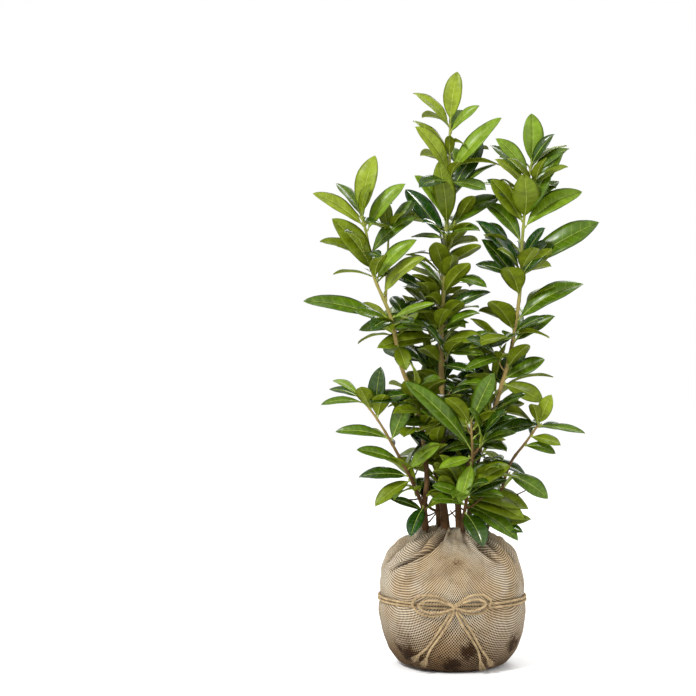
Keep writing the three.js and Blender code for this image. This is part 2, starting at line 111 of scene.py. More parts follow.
# Leaf sprays: limb, leaves on the far side, leaves all round between two heights, side twigs, and tints.
# Then the leaves: height of the foot, how far the tip stands right, forward and up from it, how far the face
# turns forward if not by FACE_TURN, and the width as a share of the length if not LEAF_WIDTH.
SPRAYS = {
    "centre_tip": ("centre_stem", 2, None, 0, "young young fresh mid olive", [
        (1027, 13, 10, 98), (1019, -65, 20, 68), (1010, 53, 25, 49), (1006, 28, -40, 55),
        (992, 26, 30, -6),
    ]),
    "centre_upper": ("centre_stem", 2, None, 2, "fresh young young fresh dark mid", [
        (929, 95, 20, 110, 0.9, 0.26), (929, -59, 45, 89), (957, -65, -15, 82, 0.2), (965, -2, 30, 38),
        (888, 66, -25, 112), (877, 87, 10, 76, 0.3),
    ]),
    "centre_neck": ("centre_stem", 3, None, 3, "olive fresh deep mid olive mid", [
        (832, -17, 35, 120), (834, -57, 40, 93), (805, -78, -30, 99), (824, 101, -20, 74),
        (784, 42, 60, 51), (754, 63, 60, 40),
    ]),
    "centre_middle": ("centre_stem", 3, None, 4, "olive olive mid mid deep dark olive", [
        (733, -22, 56, 66, 0.9, 0.42), (702, 46, 60, 57, 0.9, 0.36), (714, -65, 50, 59, 0.9, 0.24),
        (693, -61, 60, 48, 0.9, 0.24), (676, -36, 64, 26, 0.9, 0.36), (660, 88, 24, 50),
        (646, 36, 56, 44, 0.9, 0.42),
    ]),
    "centre_low": ("centre_stem", 2, None, 4, "mid olive mid olive fresh olive dark", [
        (640, -155, 20, 4, 0.9, 0.27), (619, -122, 30, -21), (628, 68, 44, 40),
        (604, 74, 60, 18, 0.9, 0.36), (592, 78, 50, -4, 0.9, 0.3), (570, -42, 78, 34, 0.9, 0.36),
        (566, 60, 66, -12, 0.9, 0.34),
    ]),
    "centre_base": ("centre_stem", 2, None, 5, "dark fresh olive dark deep mid mid", [
        (524, -50, 44, 38, 0.9, 0.36), (488, -56, 62, 58, 0.9, 0.36), (494, 38, 66, -50, 0.9, 0.46),
        (480, 30, 90, 36), (456, 52, 60, -14), (448, -70, 56, 10), (376, -44, 52, 30, 0.9, 0.4),
    ]),
    "left_tip": ("left_stem", 2, None, 0, "young olive fresh young mid", [
        (845, 21, 15, 116), (838, 11, 45, 66), (816, 66, 20, 95), (826, -97, 10, 65, 0.9, 0.3),
        (840, -50, -30, 74, 0.2),
    ]),
    "left_upper": ("left_stem", 3, None, 2, "olive mid fresh young dark", [
        (742, -74, 40, 99, 1.8, 0.38), (773, 82, 10, 76), (725, 70, 30, 80), (697, 74, 35, 76, 0.9, 0.36),
        (729, 15, 70, 47),
    ]),
    "left_fork_tip": ("left_fork", 2, None, 1, "mid olive", [
        (814, 49, 20, 63), (810, -10, -30, 80),
    ]),
    "left_middle": ("left_stem", 3, None, 3, "mid fresh olive dark", [
        (649, -166, 10, 42, 0.8, 0.24), (655, 80, 30, 27, 0.9, 0.28), (604, 16, 45, -45, 0.9, 0.46),
        (622, -40, 70, 30),
    ]),
    "left_low": ("left_stem", 2, None, 4, "dark mid olive olive young", [
        (516, -34, 25, -17), (500, 52, 72, 40), (470, -30, 66, 70), (446, 16, 66, 34, 0.9, 0.42),
        (428, 40, 60, 44, 0.9, 0.36),
    ]),
    "right_tip": ("right_stem", 2, None, 0, "fresh dark olive mid fresh mid", [
        (946, 0, 10, 96, 0.9, 0.4), (944, 36, 30, 58), (942, 66, -10, 48, 0.2), (925, 70, 20, 53),
        (921, -59, 15, 76), (916, -66, -25, 76),
    ]),
    "right_upper": ("right_stem", 2, None, 2, "mid mid fresh young fresh olive olive mid", [
        (864, 70, 25, 104), (868, 66, -20, 53), (824, 108, 15, 72), (900, -62, 15, 55),
        (888, -93, -10, 27, 0.2), (845, -5, 60, 74, 0.9, 0.5), (834, -63, 25, 82, 0.9, 0.42),
        (848, 40, 45, 84, 0.9, 0.4),
    ]),
    "right_middle": ("right_stem", 3, None, 3, "mid deep dark olive mid deep olive", [
        (794, -68, -15, 82), (741, -89, 30, 97, 0.9, 0.3), (706, -76, 28, 97, 0.9, 0.32),
        (697, -30, 60, 58, 0.9, 0.5), (752, 144, 20, 84, 1.5, 0.32), (761, 38, 50, 63), (733, 51, 60, 51),
    ]),
    "right_lower": ("right_stem", 3, None, 3, "mid mid olive olive dark mid", [
        (649, 120, 20, 78), (610, 76, 30, 50, 0.9, 0.36), (625, 61, 60, -2),
        (630, -50, 60, 62, 0.9, 0.42), (620, -58, 20, -20), (584, -87, 34, -26, 0.9, 0.26),
    ]),
    "right_base": ("right_stem", 2, None, 4, "fresh mid olive olive mid deep dark", [
        (560, 36, 50, 48, 0.9, 0.44), (540, 76, 24, 38, 0.9, 0.44), (532, 74, 34, -32, 0.9, 0.4),
        (512, -66, 60, 36, 0.9, 0.48), (478, 54, 36, 36, 0.9, 0.4), (462, -36, 44, 52, 0.9, 0.44),
        (427, 106, 24, 34, 0.9, 0.36),
    ]),
    "right_foot": ("right_stem", 1, None, 3, "olive olive mid olive", [
        (322, 128, 40, -18), (312, 120, 52, -34), (306, 108, 60, -58), (340, -54, 70, 34),
    ]),
    "front_spray": ("front_shoot", 0, None, 2, "mid fresh fresh mid olive fresh dark", [
        (408, -128, 20, 128, 0.9, 0.23), (396, -63, 40, -17, 0.9, 0.34), (388, -25, 40, -72, 0.9, 0.34),
        (462, 40, 30, 92), (456, -50, 50, 58), (446, 56, 44, 34, 0.9, 0.4), (430, 78, 46, 44),
    ]),
    "front_low": ("front_shoot", 0, None, 3, "dark mid olive mid", [
        (292, 30, 66, -52, 0.9, 0.46), (306, -66, 44, 12), (336, 70, 44, 50, 0.9, 0.46), (326, 60, 54, 6),
    ]),
    "left_shoot_tip": ("left_shoot", 1, None, 0, "fresh dark mid olive dark olive", [
        (508, -52, -60, 36, 0.9, 0.2), (505, -60, -30, 16, 0.9, 0.22), (496, -82, 20, 0, 0.9, 0.22),
        (480, -22, 44, 48, 0.9, 0.44), (469, 7, 15, 95, 0.9, 0.36), (466, 14, 52, 49, 0.9, 0.42),
    ]),
    "left_shoot_low": ("left_shoot", 2, None, 1, "mid mid mid fresh dark olive mid", [
        (427, -101, 15, 19, 0.9, 0.24), (423, 34, 15, 87, 0.9, 0.4), (382, -87, 20, 28, 0.9, 0.26),
        (368, 58, 36, 54, 0.9, 0.4), (356, -96, 25, 4), (350, -70, 40, -40, 0.9, 0.36),
        (334, -44, 56, -12),
    ]),
    "left_hanging": ("left_stem", 1, None, 2, "deep dark olive mid", [
        (300, -28, 60, -50, 0.9, 0.36), (290, -66, 20, 26, 0.9, 0.2), (292, 58, 46, 36),
        (318, 40, 58, 12),
    ]),
    "right_shoot_tip": ("right_shoot", 2, None, 0, "young fresh mid dark olive mid", [
        (456, 21, 30, 57, 0.9, 0.42), (455, -15, 50, 46), (454, 89, 5, -10, 0.9, 0.22),
        (450, 61, -35, -4), (433, 51, 50, -11), (416, 57, 30, -11),
    ]),
    "right_shoot_low": ("right_shoot", 2, None, 0, "mid mid olive dark", [
        (364, 76, 30, -40, 0.9, 0.42), (338, -50, 46, -8), (272, 76, 20, 6), (264, 62, 36, -8),
    ]),
    "back_tip": ("back_shoot", 0, (610, 672, 7), 2, "fresh olive young mid", []),
    "back_middle": ("back_shoot", 0, (470, 560, 6), 5, "mid olive dark", []),
    "back_low": ("back_shoot", 0, (330, 420, 5), 5, "dark deep olive", []),
    "back_right_tip": ("back_right_shoot", 0, (470, 532, 7), 2, "fresh mid olive", []),
    "back_right_low": ("back_right_shoot", 0, (340, 420, 5), 5, "dark olive mid", []),
}
REAR_REACH, REAR_RISE, REAR_SPREAD = 96, 46, 62
ROUND_REACH, ROUND_RISE, ROUND_TURN = 88, 44, 137.5
FACE_TURN = 0.9
EDGE_ON, BACK_TURN = 0.4, 0.6
LEAF_WIDTH = 0.33

# Which sprays make each piece of foliage.
FOLIAGE = {
    "foliage_centre_upper": ["centre_tip", "centre_upper", "centre_neck"],
    "foliage_centre_lower": ["centre_middle", "centre_low", "centre_base"],
    "foliage_left": ["left_tip", "left_upper", "left_fork_tip", "left_middle", "left_low", "left_hanging"],
    "foliage_right_upper": ["right_tip", "right_upper", "right_middle"],
    "foliage_right_lower": ["right_lower", "right_base", "right_foot"],
    "foliage_right_shoot": ["right_shoot_tip", "right_shoot_low"],
    "foliage_left_shoot": ["left_shoot_tip", "left_shoot_low"],
    "foliage_front": ["front_spray", "front_low"],
    "foliage_back": ["back_tip", "back_middle", "back_low", "back_right_tip", "back_right_low"],
}
LEAF_TINTS = ("young", "fresh", "olive", "mid", "dark", "deep")

# Twine: heights of the two strands round the ball, the knot, and the strands of the bow as x, z and lift
# off the cloth.
BANDS = {"twine_band_upper": 132.5, "twine_band_lower": 126.0}
KNOT_AT = (-4, 129, 10)
BOW = {
    "bow_loop_left_outer": [
        (-6, 132, 8), (-38, 148, 9), (-70, 146, 10), (-80, 131, 10), (-66, 116, 10), (-36, 114, 9),
        (-6, 125, 8)],
    "bow_loop_left_inner": [
        (-6, 131, 14), (-34, 141, 15), (-60, 139, 16), (-69, 130, 16), (-58, 121, 16), (-34, 120, 15),
        (-6, 127, 14)],
    "bow_loop_right_outer": [
        (-2, 132, 8), (24, 149, 9), (50, 150, 10), (63, 137, 10), (50, 121, 10), (24, 117, 9), (-2, 126, 8)],
    "bow_loop_right_inner": [
        (-2, 131, 14), (22, 142, 15), (42, 143, 16), (53, 135, 16), (43, 127, 16), (22, 123, 15),
        (-2, 128, 14)],
    "bow_tail_left_long": [(-7, 124, 9), (-19, 106, 5), (-37, 77, 3.4), (-53, 52, 3.4), (-66, 38, 3.6)],
    "bow_tail_left_short": [(-5, 122, 14), (-14, 103, 9.5), (-32, 73, 4), (-47, 49, 3.6), (-53, 33, 3.6)],
    "bow_tail_right_long": [(-1, 124, 9), (13, 106, 5), (31, 77, 3.4), (46, 49, 3.4), (58, 31, 3.6)],
    "bow_tail_right_short": [(-3, 122, 14), (7, 102, 9.5), (26, 72, 4), (40, 46, 3.6), (45, 27, 3.6)],
}

# Soil stains on the cloth: centre and radius.
STAINS = [
    ((27, -125, 40), 24), ((-8, -112, 14), 22), ((-84, -90, 36), 27), ((107, -70, 52), 18),
    ((-2, -118, 203), 5), ((60, 108, 36), 30), ((-70, 100, 60), 24), ((-125, 20, 30), 22),
    ((126, 40, 70), 18),
]


# ---------------------------------------------------------------- settings

def NumberSetting(name, description, default):
    return FloatProperty(name=name, description=description, default=default)


def LengthSetting(name, description, default):
    return FloatProperty(name=name, description=description, default=default, unit="LENGTH")


def ColourSetting(name, description, default):
    return FloatVectorProperty(name=name, description=description, default=default, subtype="COLOR")


class BallSettings(bpy.types.PropertyGroup):
    """Sizes and colours of the wrapped root ball."""
    thread_pitch: LengthSetting("Thread pitch", "Distance between threads of the burlap", 0.0046)
    fold_depth: NumberSetting("Fold depth", "Depth of a gather as a share of the radius", 0.035)
    crease_depth: LengthSetting("Crease depth", "Depth of the sharp creases at the neck", 0.010)
    thread_colour: ColourSetting("Thread colour", "Colour of the dry threads", (0.80, 0.61, 0.365))
    pale_colour: ColourSetting("Pale thread colour", "Colour of the bleached threads", (1.0, 0.90, 0.71))
    # Soil seen in the gaps of the weave, also used as the painted shade on thread edges and under crossings.
    gap_and_shade_colour: ColourSetting("Gap colour", "Colour seen between the threads", (0.050, 0.026, 0.011))
    # Multiplied in for the soil stains and damp, for the darkening towards the bottom, and as painted shade
    # in the creases.
    soil_and_shade_tint: ColourSetting("Soil tint", "Tint the damp soil gives the cloth", (0.205, 0.122, 0.042))


class StemSettings(bpy.types.PropertyGroup):
    """Bark of the stems and shoots."""
    relief: LengthSetting("Bark relief", "Depth of the bark's wrinkles", 0.0006)
    base_colour: ColourSetting("Base bark", "Bark next to the ball", (0.078, 0.036, 0.010))
    middle_colour: ColourSetting("Middle bark", "Bark half way up", (0.29, 0.205, 0.066))
    shoot_colour: ColourSetting("Young bark", "Bark of this year's shoots", (0.21, 0.235, 0.035))


class LeafSettings(bpy.types.PropertyGroup):
    """Shape and colours of the leaves."""
    seed: IntProperty(name="Seed", description="Number the leaf variation starts from", default=11)
    width: NumberSetting("Width", "Width of every leaf against the tabled one", 1.03)
    twig_leaf: LengthSetting("Twig leaf", "Length of the leaves on the side twigs", 0.080)
    arch: NumberSetting("Arch", "Rise of the middle of a leaf, as a share of its length", 0.07)
    fold: NumberSetting("Fold", "How steeply the halves rise from the midrib", 0.30)
    vein_pairs: IntProperty(name="Vein pairs", description="Side veins on each half", default=8)
    vein_depth: LengthSetting("Vein depth", "Depth of the blade's ripples at the side veins", 0.0002)
    young: ColourSetting("Young leaf", "Yellow-green of the newest leaves", (0.155, 0.205, 0.010))
    fresh: ColourSetting("Fresh leaf", "Bright green", (0.112, 0.186, 0.006))
    olive: ColourSetting("Olive leaf", "Yellowish middle green", (0.094, 0.132, 0.002))
    mid: ColourSetting("Full leaf", "Middle green", (0.049, 0.096, 0.001))
    dark: ColourSetting("Dark leaf", "Dark green", (0.016, 0.044, 0.001))
    deep: ColourSetting("Deep leaf", "Deep blue-green of shaded leaves", (0.007, 0.036, 0.002))
    underside: ColourSetting("Underside", "Pale back of a leaf", (0.105, 0.138, 0.003))
    midrib: ColourSetting("Midrib", "Pale middle vein and leaf stalk", (0.25, 0.31, 0.055))


class TwineSettings(bpy.types.PropertyGroup):
    """Jute twine round the ball and in the bow."""
    half_thickness: LengthSetting("Half thickness", "Half the thickness of a strand", 0.0024)
    lay: LengthSetting("Lay", "Length of one turn of the plies", 0.011)
    colour: ColourSetting("Jute colour", "Colour of the twine", (0.48, 0.36, 0.205))
    # Dark streaks in the jute: partly its own tone, partly painted shade of the hollows between the plies.
    hollow_shade_colour: ColourSetting("Hollow colour", "Colour between the plies", (0.13, 0.082, 0.038))


class StageSettings(bpy.types.PropertyGroup):
    """Camera, light and floor."""
    camera_at: FloatVectorProperty(name="Camera place", description="Where the camera stands",
                                   subtype="TRANSLATION", default=(-0.1976, -3.2, 0.600))
    lens: NumberSetting("Lens", "Focal length in millimetres", 87.1)
    sky: NumberSetting("Room light", "Strength of the even light all round", 1.0)
    key: FloatProperty(name="Key light", description="Power of the large soft light", default=150.0,
                       unit="POWER")
    floor_colour: ColourSetting("Floor colour", "Colour of the floor", (1.0, 1.0, 1.0))


# ---------------------------------------------------------------- mesh helpers

SMALL_SIDES, TWIG_SIDES, FIBRE_SIDES, LIMB_SIDES = 6, 7, 3, 18  # flats round tubes of each kind


def make_object(name, points, faces, materials, face_slots=None, smooth=True, layers=None):
    """A mesh object from points in metres, faces, its materials and each face's material number."""
    mesh = bpy.data.meshes.new(name)
    mesh.from_pydata([tuple(p) for p in points], [], faces)
    for material in materials:
        mesh.materials.append(material)
    if face_slots is not None:
        mesh.polygons.foreach_set("material_index", np.asarray(face_slots, dtype=np.int32))
    loops = np.empty(len(mesh.loops), dtype=np.int32)
    mesh.loops.foreach_get("vertex_index", loops)
    for key, values in (layers or {}).items():
        uv = mesh.uv_layers.new(name=key)
        uv.data.foreach_set("uv", np.asarray(values, dtype=np.float32)[loops].ravel())
    mesh.validate()
    mesh.update()
    if smooth:
        mesh.shade_smooth()
    obj = bpy.data.objects.new(name, mesh)
    bpy.context.scene.collection.objects.link(obj)
    return obj


class Curve:
    """A smooth curve through points, with centripetal spacing."""

    def __init__(self, points):
        self.points = [np.array(p, dtype=float) for p in points]

    def at(self, u):
        pts = self.points
        last = len(pts) - 1
        place = min(max(u, 0.0), 1.0) * last
        i = min(int(place), last - 1)
        w = place - i
        p1, p2 = pts[i], pts[i + 1]
        p0 = pts[i - 1] if i > 0 else 2 * pts[0] - pts[1]
        p3 = pts[i + 2] if i + 2 <= last else 2 * pts[last] - pts[last - 1]
        d0, d1, d2 = [max(np.linalg.norm(b - a), 1e-6) ** 0.5 for a, b in ((p0, p1), (p1, p2), (p2, p3))]
        t1 = ((p1 - p0) / d0 - (p2 - p0) / (d0 + d1) + (p2 - p1) / d1) * d1
        t2 = ((p2 - p1) / d1 - (p3 - p1) / (d1 + d2) + (p3 - p2) / d2) * d1
        return (p1 + t1 * w + (-3 * p1 + 3 * p2 - 2 * t1 - t2) * w ** 2
                + (2 * p1 - 2 * p2 + t1 + t2) * w ** 3)

    def even(self, spacing):
        """Points about `spacing` apart along the curve, and the share of the curve at each."""
        shares = np.linspace(0, 1, 40 * len(self.points))
        dense = np.array([self.at(u) for u in shares])
        run = np.concatenate([[0], np.cumsum(np.linalg.norm(np.diff(dense, axis=0), axis=1))])
        count = max(3, int(run[-1] / spacing) + 1)
        wanted = np.linspace(0, run[-1], count)
        us = np.interp(wanted, run, shares)
        return np.array([self.at(u) for u in us]), us


def carried_frames(points, closed=False):
    """Along, side and face directions at each point, turned as little as can be along the way."""
    if closed:
        along = np.roll(points, -1, axis=0) - np.roll(points, 1, axis=0)
    else:
        along = np.gradient(points, axis=0)
    along /= np.linalg.norm(along, axis=1)[:, None]
    side = np.cross(along[0], (0.0, 1.0, 0.0))
    if np.linalg.norm(side) < 0.3:
        side = np.cross(along[0], (0.0, 0.0, 1.0))
    sides = []
    for a in along:
        side = side - a * np.dot(side, a)
        side = side / np.linalg.norm(side)
        sides.append(side)
    sides = np.array(sides)
    return along, sides, np.cross(along, sides)


def rings_to_faces(start, rings, sides, closed=False):
    """Quads between level rings of points, with end caps on an open tube."""
    faces = []
    for i in range(rings if closed else rings - 1):
        a = start + i * sides
        b = start + ((i + 1) % rings) * sides
        faces += [(a + j, a + (j + 1) % sides, b + (j + 1) % sides, b + j) for j in range(sides)]
    if not closed:
        faces.append(tuple(start + j for j in reversed(range(sides))))
        end = start + (rings - 1) * sides
        faces.append(tuple(end + j for j in range(sides)))
    return faces


def ring_points(centre, radius, side, face, count):
    """Points of one round cross-section about a centre in millimetres."""
    turns = [2 * math.pi * j / count for j in range(count)]
    return [(centre + radius * (math.cos(a) * side + math.sin(a) * face)) * MM for a in turns]


# ---------------------------------------------------------------- material helpers

class Nodes:
    """Short ways to lay and join the nodes of one material."""

    def __init__(self, name):
        self.material = bpy.data.materials.new(name)
        self.material.use_nodes = True
        self.tree = self.material.node_tree
        self.shader = self.tree.nodes["Principled BSDF"]
        self.shader.inputs["Metallic"].default_value = 0.0

    def add(self, kind, **settings):
        node = self.tree.nodes.new(kind)
        for key, value in settings.items():
            setattr(node, key, value)
        return node

    def join(self, source, target):
        self.tree.links.new(source, target)

    def put(self, socket, value):
        if isinstance(value, bpy.types.NodeSocket):
            self.join(value, socket)
        else:
            socket.default_value = value

    def maths(self, operation, a, b=0.0, c=None):
        node = self.add("ShaderNodeMath", operation=operation)
        self.put(node.inputs[0], a)
        self.put(node.inputs[1], b)
        if c is not None:
            self.put(node.inputs[2], c)
        return node.outputs[0]

    def ranged(self, value, low, high, to_low=0.0, to_high=1.0):
        node = self.add("ShaderNodeMapRange", interpolation_type="SMOOTHSTEP")
        self.put(node.inputs["Value"], value)
        node.inputs["From Min"].default_value = low
        node.inputs["From Max"].default_value = high
        node.inputs["To Min"].default_value = to_low
        node.inputs["To Max"].default_value = to_high
        return node.outputs[0]

    def noise(self, where, scale, detail=3.0, rough=0.55):
        node = self.add("ShaderNodeTexNoise")
        self.join(where, node.inputs["Vector"])
        node.inputs["Scale"].default_value = scale
        node.inputs["Detail"].default_value = detail
        node.inputs["Roughness"].default_value = rough
        return node.outputs["Fac"]

    def blend(self, share, a, b, way="MIX"):
        node = self.add("ShaderNodeMix", data_type="RGBA", blend_type=way)
        self.put(node.inputs["Factor"], share)
        self.put(node.inputs["A"], rgba(a))
        self.put(node.inputs["B"], rgba(b))
        return node.outputs["Result"]

    def split(self, vector):
        """The separate numbers of a vector."""
        node = self.add("ShaderNodeSeparateXYZ")
        self.join(vector, node.inputs[0])
        return node.outputs

    def layout(self, layer):
        """The two numbers that the mesh holds at each point under a layer's name."""
        return self.split(self.add("ShaderNodeUVMap", uv_map=layer).outputs[0])

    def place(self):
        return self.add("ShaderNodeTexCoord").outputs["Object"]

    def bump(self, height, strength, distance):
        node = self.add("ShaderNodeBump")
        self.join(height, node.inputs["Height"])
        node.inputs["Strength"].default_value = strength
        node.inputs["Distance"].default_value = distance
        self.join(node.outputs["Normal"], self.shader.inputs["Normal"])

    def roughness(self, value):
        self.put(self.shader.inputs["Roughness"], value)

    def shine(self, value):
        self.shader.inputs["Specular IOR Level"].default_value = value

    def colour(self, value):
        self.put(self.shader.inputs["Base Color"], rgba(value))


def rgba(colour):
    if isinstance(colour, bpy.types.NodeSocket):
        return colour
    return (colour[0], colour[1], colour[2], 1.0)


def burlap_material(s):
    """Open plain weave with soil showing through, bleached and stained in places; painted shade on the
    thread edges, under the crossings and in the creases, and darker towards the bottom.
    """
    n = Nodes("burlap_weave")
    cloth = n.layout("cloth")
    place = n.place()
    waver = n.noise(place, 34.0, 2.0)
    turn = math.pi / s.thread_pitch
    waves = []
    for axis in (0, 1):
        bent = n.maths("MULTIPLY_ADD", waver, 0.004, cloth[axis])
        waves.append(n.maths("SINE", n.maths("MULTIPLY", bent, turn)))
    warp, weft = [n.maths("ABSOLUTE", w) for w in waves]
    over = n.maths("MULTIPLY", waves[0], waves[1])
    thread = n.maths("MAXIMUM", warp, weft)
    gap = n.ranged(n.maths("MULTIPLY", warp, weft), 0.20, 0.50)
    # Painted shade: each thread darkens towards its edges, away from its crown.
    thread_edge_shade = n.ranged(n.maths("MINIMUM", warp, weft), 0.10, 0.70)
    patch = n.noise(place, 13.0, 4.0)
    fibre = n.noise(place, 900.0, 2.0)
    dry = n.blend(n.ranged(patch, 0.36, 0.64), s.thread_colour, s.pale_colour)
    dry = n.blend(n.ranged(fibre, 0.35, 0.75, 0.0, 0.45), dry, s.thread_colour)
    dry = n.blend(n.maths("MULTIPLY", thread_edge_shade, 0.55), dry, s.gap_and_shade_colour)
    # Painted shade where a thread dips under the one crossing it.
    dry = n.blend(n.ranged(over, -0.7, 0.7, 0.30, 0.0), dry, s.gap_and_shade_colour)
    woven = n.blend(gap, dry, s.gap_and_shade_colour)
    stain = None
    wander = n.maths("MULTIPLY", n.noise(place, 48.0, 5.0, 0.72), 0.075)
    for centre, radius in STAINS:
        away = n.add("ShaderNodeVectorMath", operation="DISTANCE")
        n.join(place, away.inputs[0])
        away.inputs[1].default_value = [c * MM for c in centre]
        ragged = n.maths("ADD", wander, away.outputs["Value"])
        spot = n.ranged(ragged, radius * MM * 0.7 + 0.030, radius * MM * 1.2 + 0.042, 1.0, 0.0)
        stain = spot if stain is None else n.maths("MAXIMUM", stain, spot)
    height = n.split(place)[2]
    damp = n.maths("MULTIPLY_ADD", n.noise(place, 26.0, 3.0), -0.05, height)
    damp = n.ranged(damp, -0.03, 0.03, 0.6, 0.0)
    cloudy = n.ranged(n.noise(place, 21.0, 3.0), 0.50, 0.72, 0.0, 0.35)
    soiled = n.maths("MAXIMUM", n.maths("MULTIPLY", stain, 0.92), n.maths("MAXIMUM", damp, cloudy))
    woven = n.blend(soiled, woven, s.soil_and_shade_tint, "MULTIPLY")
    woven = n.blend(n.maths("MULTIPLY", stain, 0.5), woven, s.soil_and_shade_tint, "MULTIPLY")
    # Darker towards the bottom of the ball.
    woven = n.blend(n.ranged(height, 0.015, 0.145, 0.80, 0.0), woven, s.soil_and_shade_tint, "MULTIPLY")
    # Painted shade in the creases, by the amount stored at each point of the mesh.
    crease_shade = n.maths("MULTIPLY", n.layout("crease_shades")[0], 0.8)
    n.colour(n.blend(crease_shade, woven, s.soil_and_shade_tint, "MULTIPLY"))
    n.roughness(0.95)
    n.shine(0.12)
    n.bump(n.maths("MULTIPLY_ADD", over, 0.35, n.maths("SUBTRACT", thread, gap)), 0.75, 0.0015)
    return n.material


def jute_material(s):
    """Twisted jute with darker streaks, partly its own tone and partly painted shade of the hollows between
    the plies, and stray pale fibres.
    """
    n = Nodes("jute_fibre")
    place = n.place()
    streak = n.noise(place, 420.0, 3.0, 0.7)
    broad = n.noise(place, 60.0, 2.0)
    # Random dark streaks, partly the jute's own tone and partly painted shade of the hollows.
    body = n.blend(n.ranged(streak, 0.3, 0.7), s.hollow_shade_colour, s.colour)
    pale = tuple(min(1.0, c * 1.35) for c in s.colour)
    n.colour(n.blend(n.ranged(broad, 0.4, 0.7, 0.0, 0.35), body, pale))
    n.roughness(0.9)
    n.shine(0.2)
    n.bump(streak, 0.4, 0.0006)
    return n.material


def bark_material(s):
    """Brown wrinkled bark at the foot, turning tan and then green up the shoots."""
    n = Nodes("laurel_bark")
    place = n.place()
    waver = n.noise(place, 22.0, 3.0)
    height = n.maths("MULTIPLY_ADD", waver, 0.16, n.split(place)[2])
    low = n.blend(n.ranged(height, 0.42, 0.62), s.base_colour, s.middle_colour)
    body = n.blend(n.ranged(height, 0.66, 0.90), low, s.shoot_colour)
    flakes = n.noise(place, 260.0, 4.0, 0.7)
    dark = tuple(c * 0.45 for c in s.base_colour)
    n.colour(n.blend(n.ranged(flakes, 0.52, 0.72, 0.0, 0.5), body, dark))
    n.roughness(n.ranged(height, 0.5, 0.95, 0.8, 0.5))
    n.shine(0.25)
    n.bump(flakes, 0.5, 0.001)
    return n.material


def leaf_material(name, colour, gloss, shine, pale, strength):
    """A leaf skin: one tint with faint mottling, paler side veins and a waxy shine."""
    n = Nodes(name)
    place = n.place()
    mottle = n.noise(place, 55.0, 3.0, 0.6)
    lighter = tuple(min(1.0, c * 1.2) for c in colour)
    darker = tuple(c * 0.84 for c in colour)
    body = n.blend(n.ranged(mottle, 0.36, 0.64), darker, lighter)
    blade = n.layout("veins")
    vein = n.ranged(n.maths("COSINE", n.maths("MULTIPLY", blade[0], 2 * math.pi)), 0.80, 1.0)
    vein = n.maths("MULTIPLY", vein, n.ranged(blade[1], 0.45, 0.92, strength, 0.0))
    n.colour(n.blend(vein, body, tuple(0.45 * c + 0.55 * v for c, v in zip(colour, pale))))
    n.roughness(n.ranged(n.noise(place, 70.0, 2.0), 0.3, 0.7, gloss, gloss + 0.10))
    n.shine(shine)
    n.bump(n.noise(place, 150.0, 2.0), 0.06, 0.0005)
    return n.material


# ---------------------------------------------------------------- root ball

PROFILE_R = np.array([p[0] for p in BALL_PROFILE], dtype=float)
PROFILE_Z = np.array([p[1] for p in BALL_PROFILE], dtype=float)


BALL_AROUND, BALL_ROWS = 420, 190  # points round the cloth and up it
WAIST_AT, WAIST_SPREAD, WAIST_PULL = 129.5, 7.0, 3.0  # height, half height and depth of the twine's pull
NECK_LOW, NECK_HIGH = 190.0, 250.0  # heights between which the side turns into the neck
COLLAR_HEIGHT, COLLAR_REACH = 9.0, 8.5  # cloth standing up round a stem, and how far out


def smooth(x, low, high):
    t = np.clip((x - low) / (high - low), 0.0, 1.0)
    return t * t * (3 - 2 * t)


def gathers(angle, z, depth):
    """Share by which the cloth stands in or out at a bearing and height."""
    to_neck = smooth(z, 150.0, 245.0)
    to_foot = 1.0 - smooth(z, 0.0, 90.0)
    wave = np.cos(FOLDS * angle + 0.9) + 0.5 * np.cos(5 * angle + 2.1)
    return 1 + depth * (to_neck - 0.25 * to_foot) * wave + 0.008 * np.cos(3 * angle + z / 70)


def skin_radius(angle, z, depth):
    """Radius of the ball in millimetres at a bearing and height, between underside and neck."""
    outer = slice(2, 13)
    r = np.interp(z, PROFILE_Z[outer], PROFILE_R[outer])
    return r * gathers(angle, z, depth)


# Pleats running down from the neck: bearing at the neck and at the foot, half width in degrees, lowest
# height, and depth.
CREASES = [
    (-112, -151, 2.6, 176, 1.35), (-64, -44, 2.6, 192, 1.3), (-107, -108, 2.0, 222, 0.9),
    (-73, -71, 2.0, 224, 0.7), (-160, -172, 5, 186, 0.9), (-24, -14, 5, 184, 0.9), (8, 16, 5, 172, 1.0),
    (38, 34, 5, 186, 0.9), (66, 74, 5, 174, 1.0), (98, 94, 5, 188, 0.9), (124, 132, 5, 172, 1.0),
    (158, 154, 5, 186, 0.9), (-132, -136, 3.5, 206, 0.7), (-46, -40, 3.5, 204, 0.6),
]
COLLARS = [name for name, limb in LIMBS.items() if limb[3][0][2] < 250]


def collar_rise(x, y):
    """Height in millimetres by which the cloth stands up round the stems."""
    rise = 0.0
    for k, name in enumerate(COLLARS):
        foot, _, flare, path = LIMBS[name]
        across, back = x - path[0][0], y - path[0][1]
        away = math.hypot(across, back) - foot - flare
        pucker = 1 + 0.28 * math.cos(7 * math.atan2(back, across) + 1.7 * k)
        rise = max(rise, COLLAR_HEIGHT * pucker * math.exp(-(max(away, 0.0) / COLLAR_REACH) ** 2))
    return rise


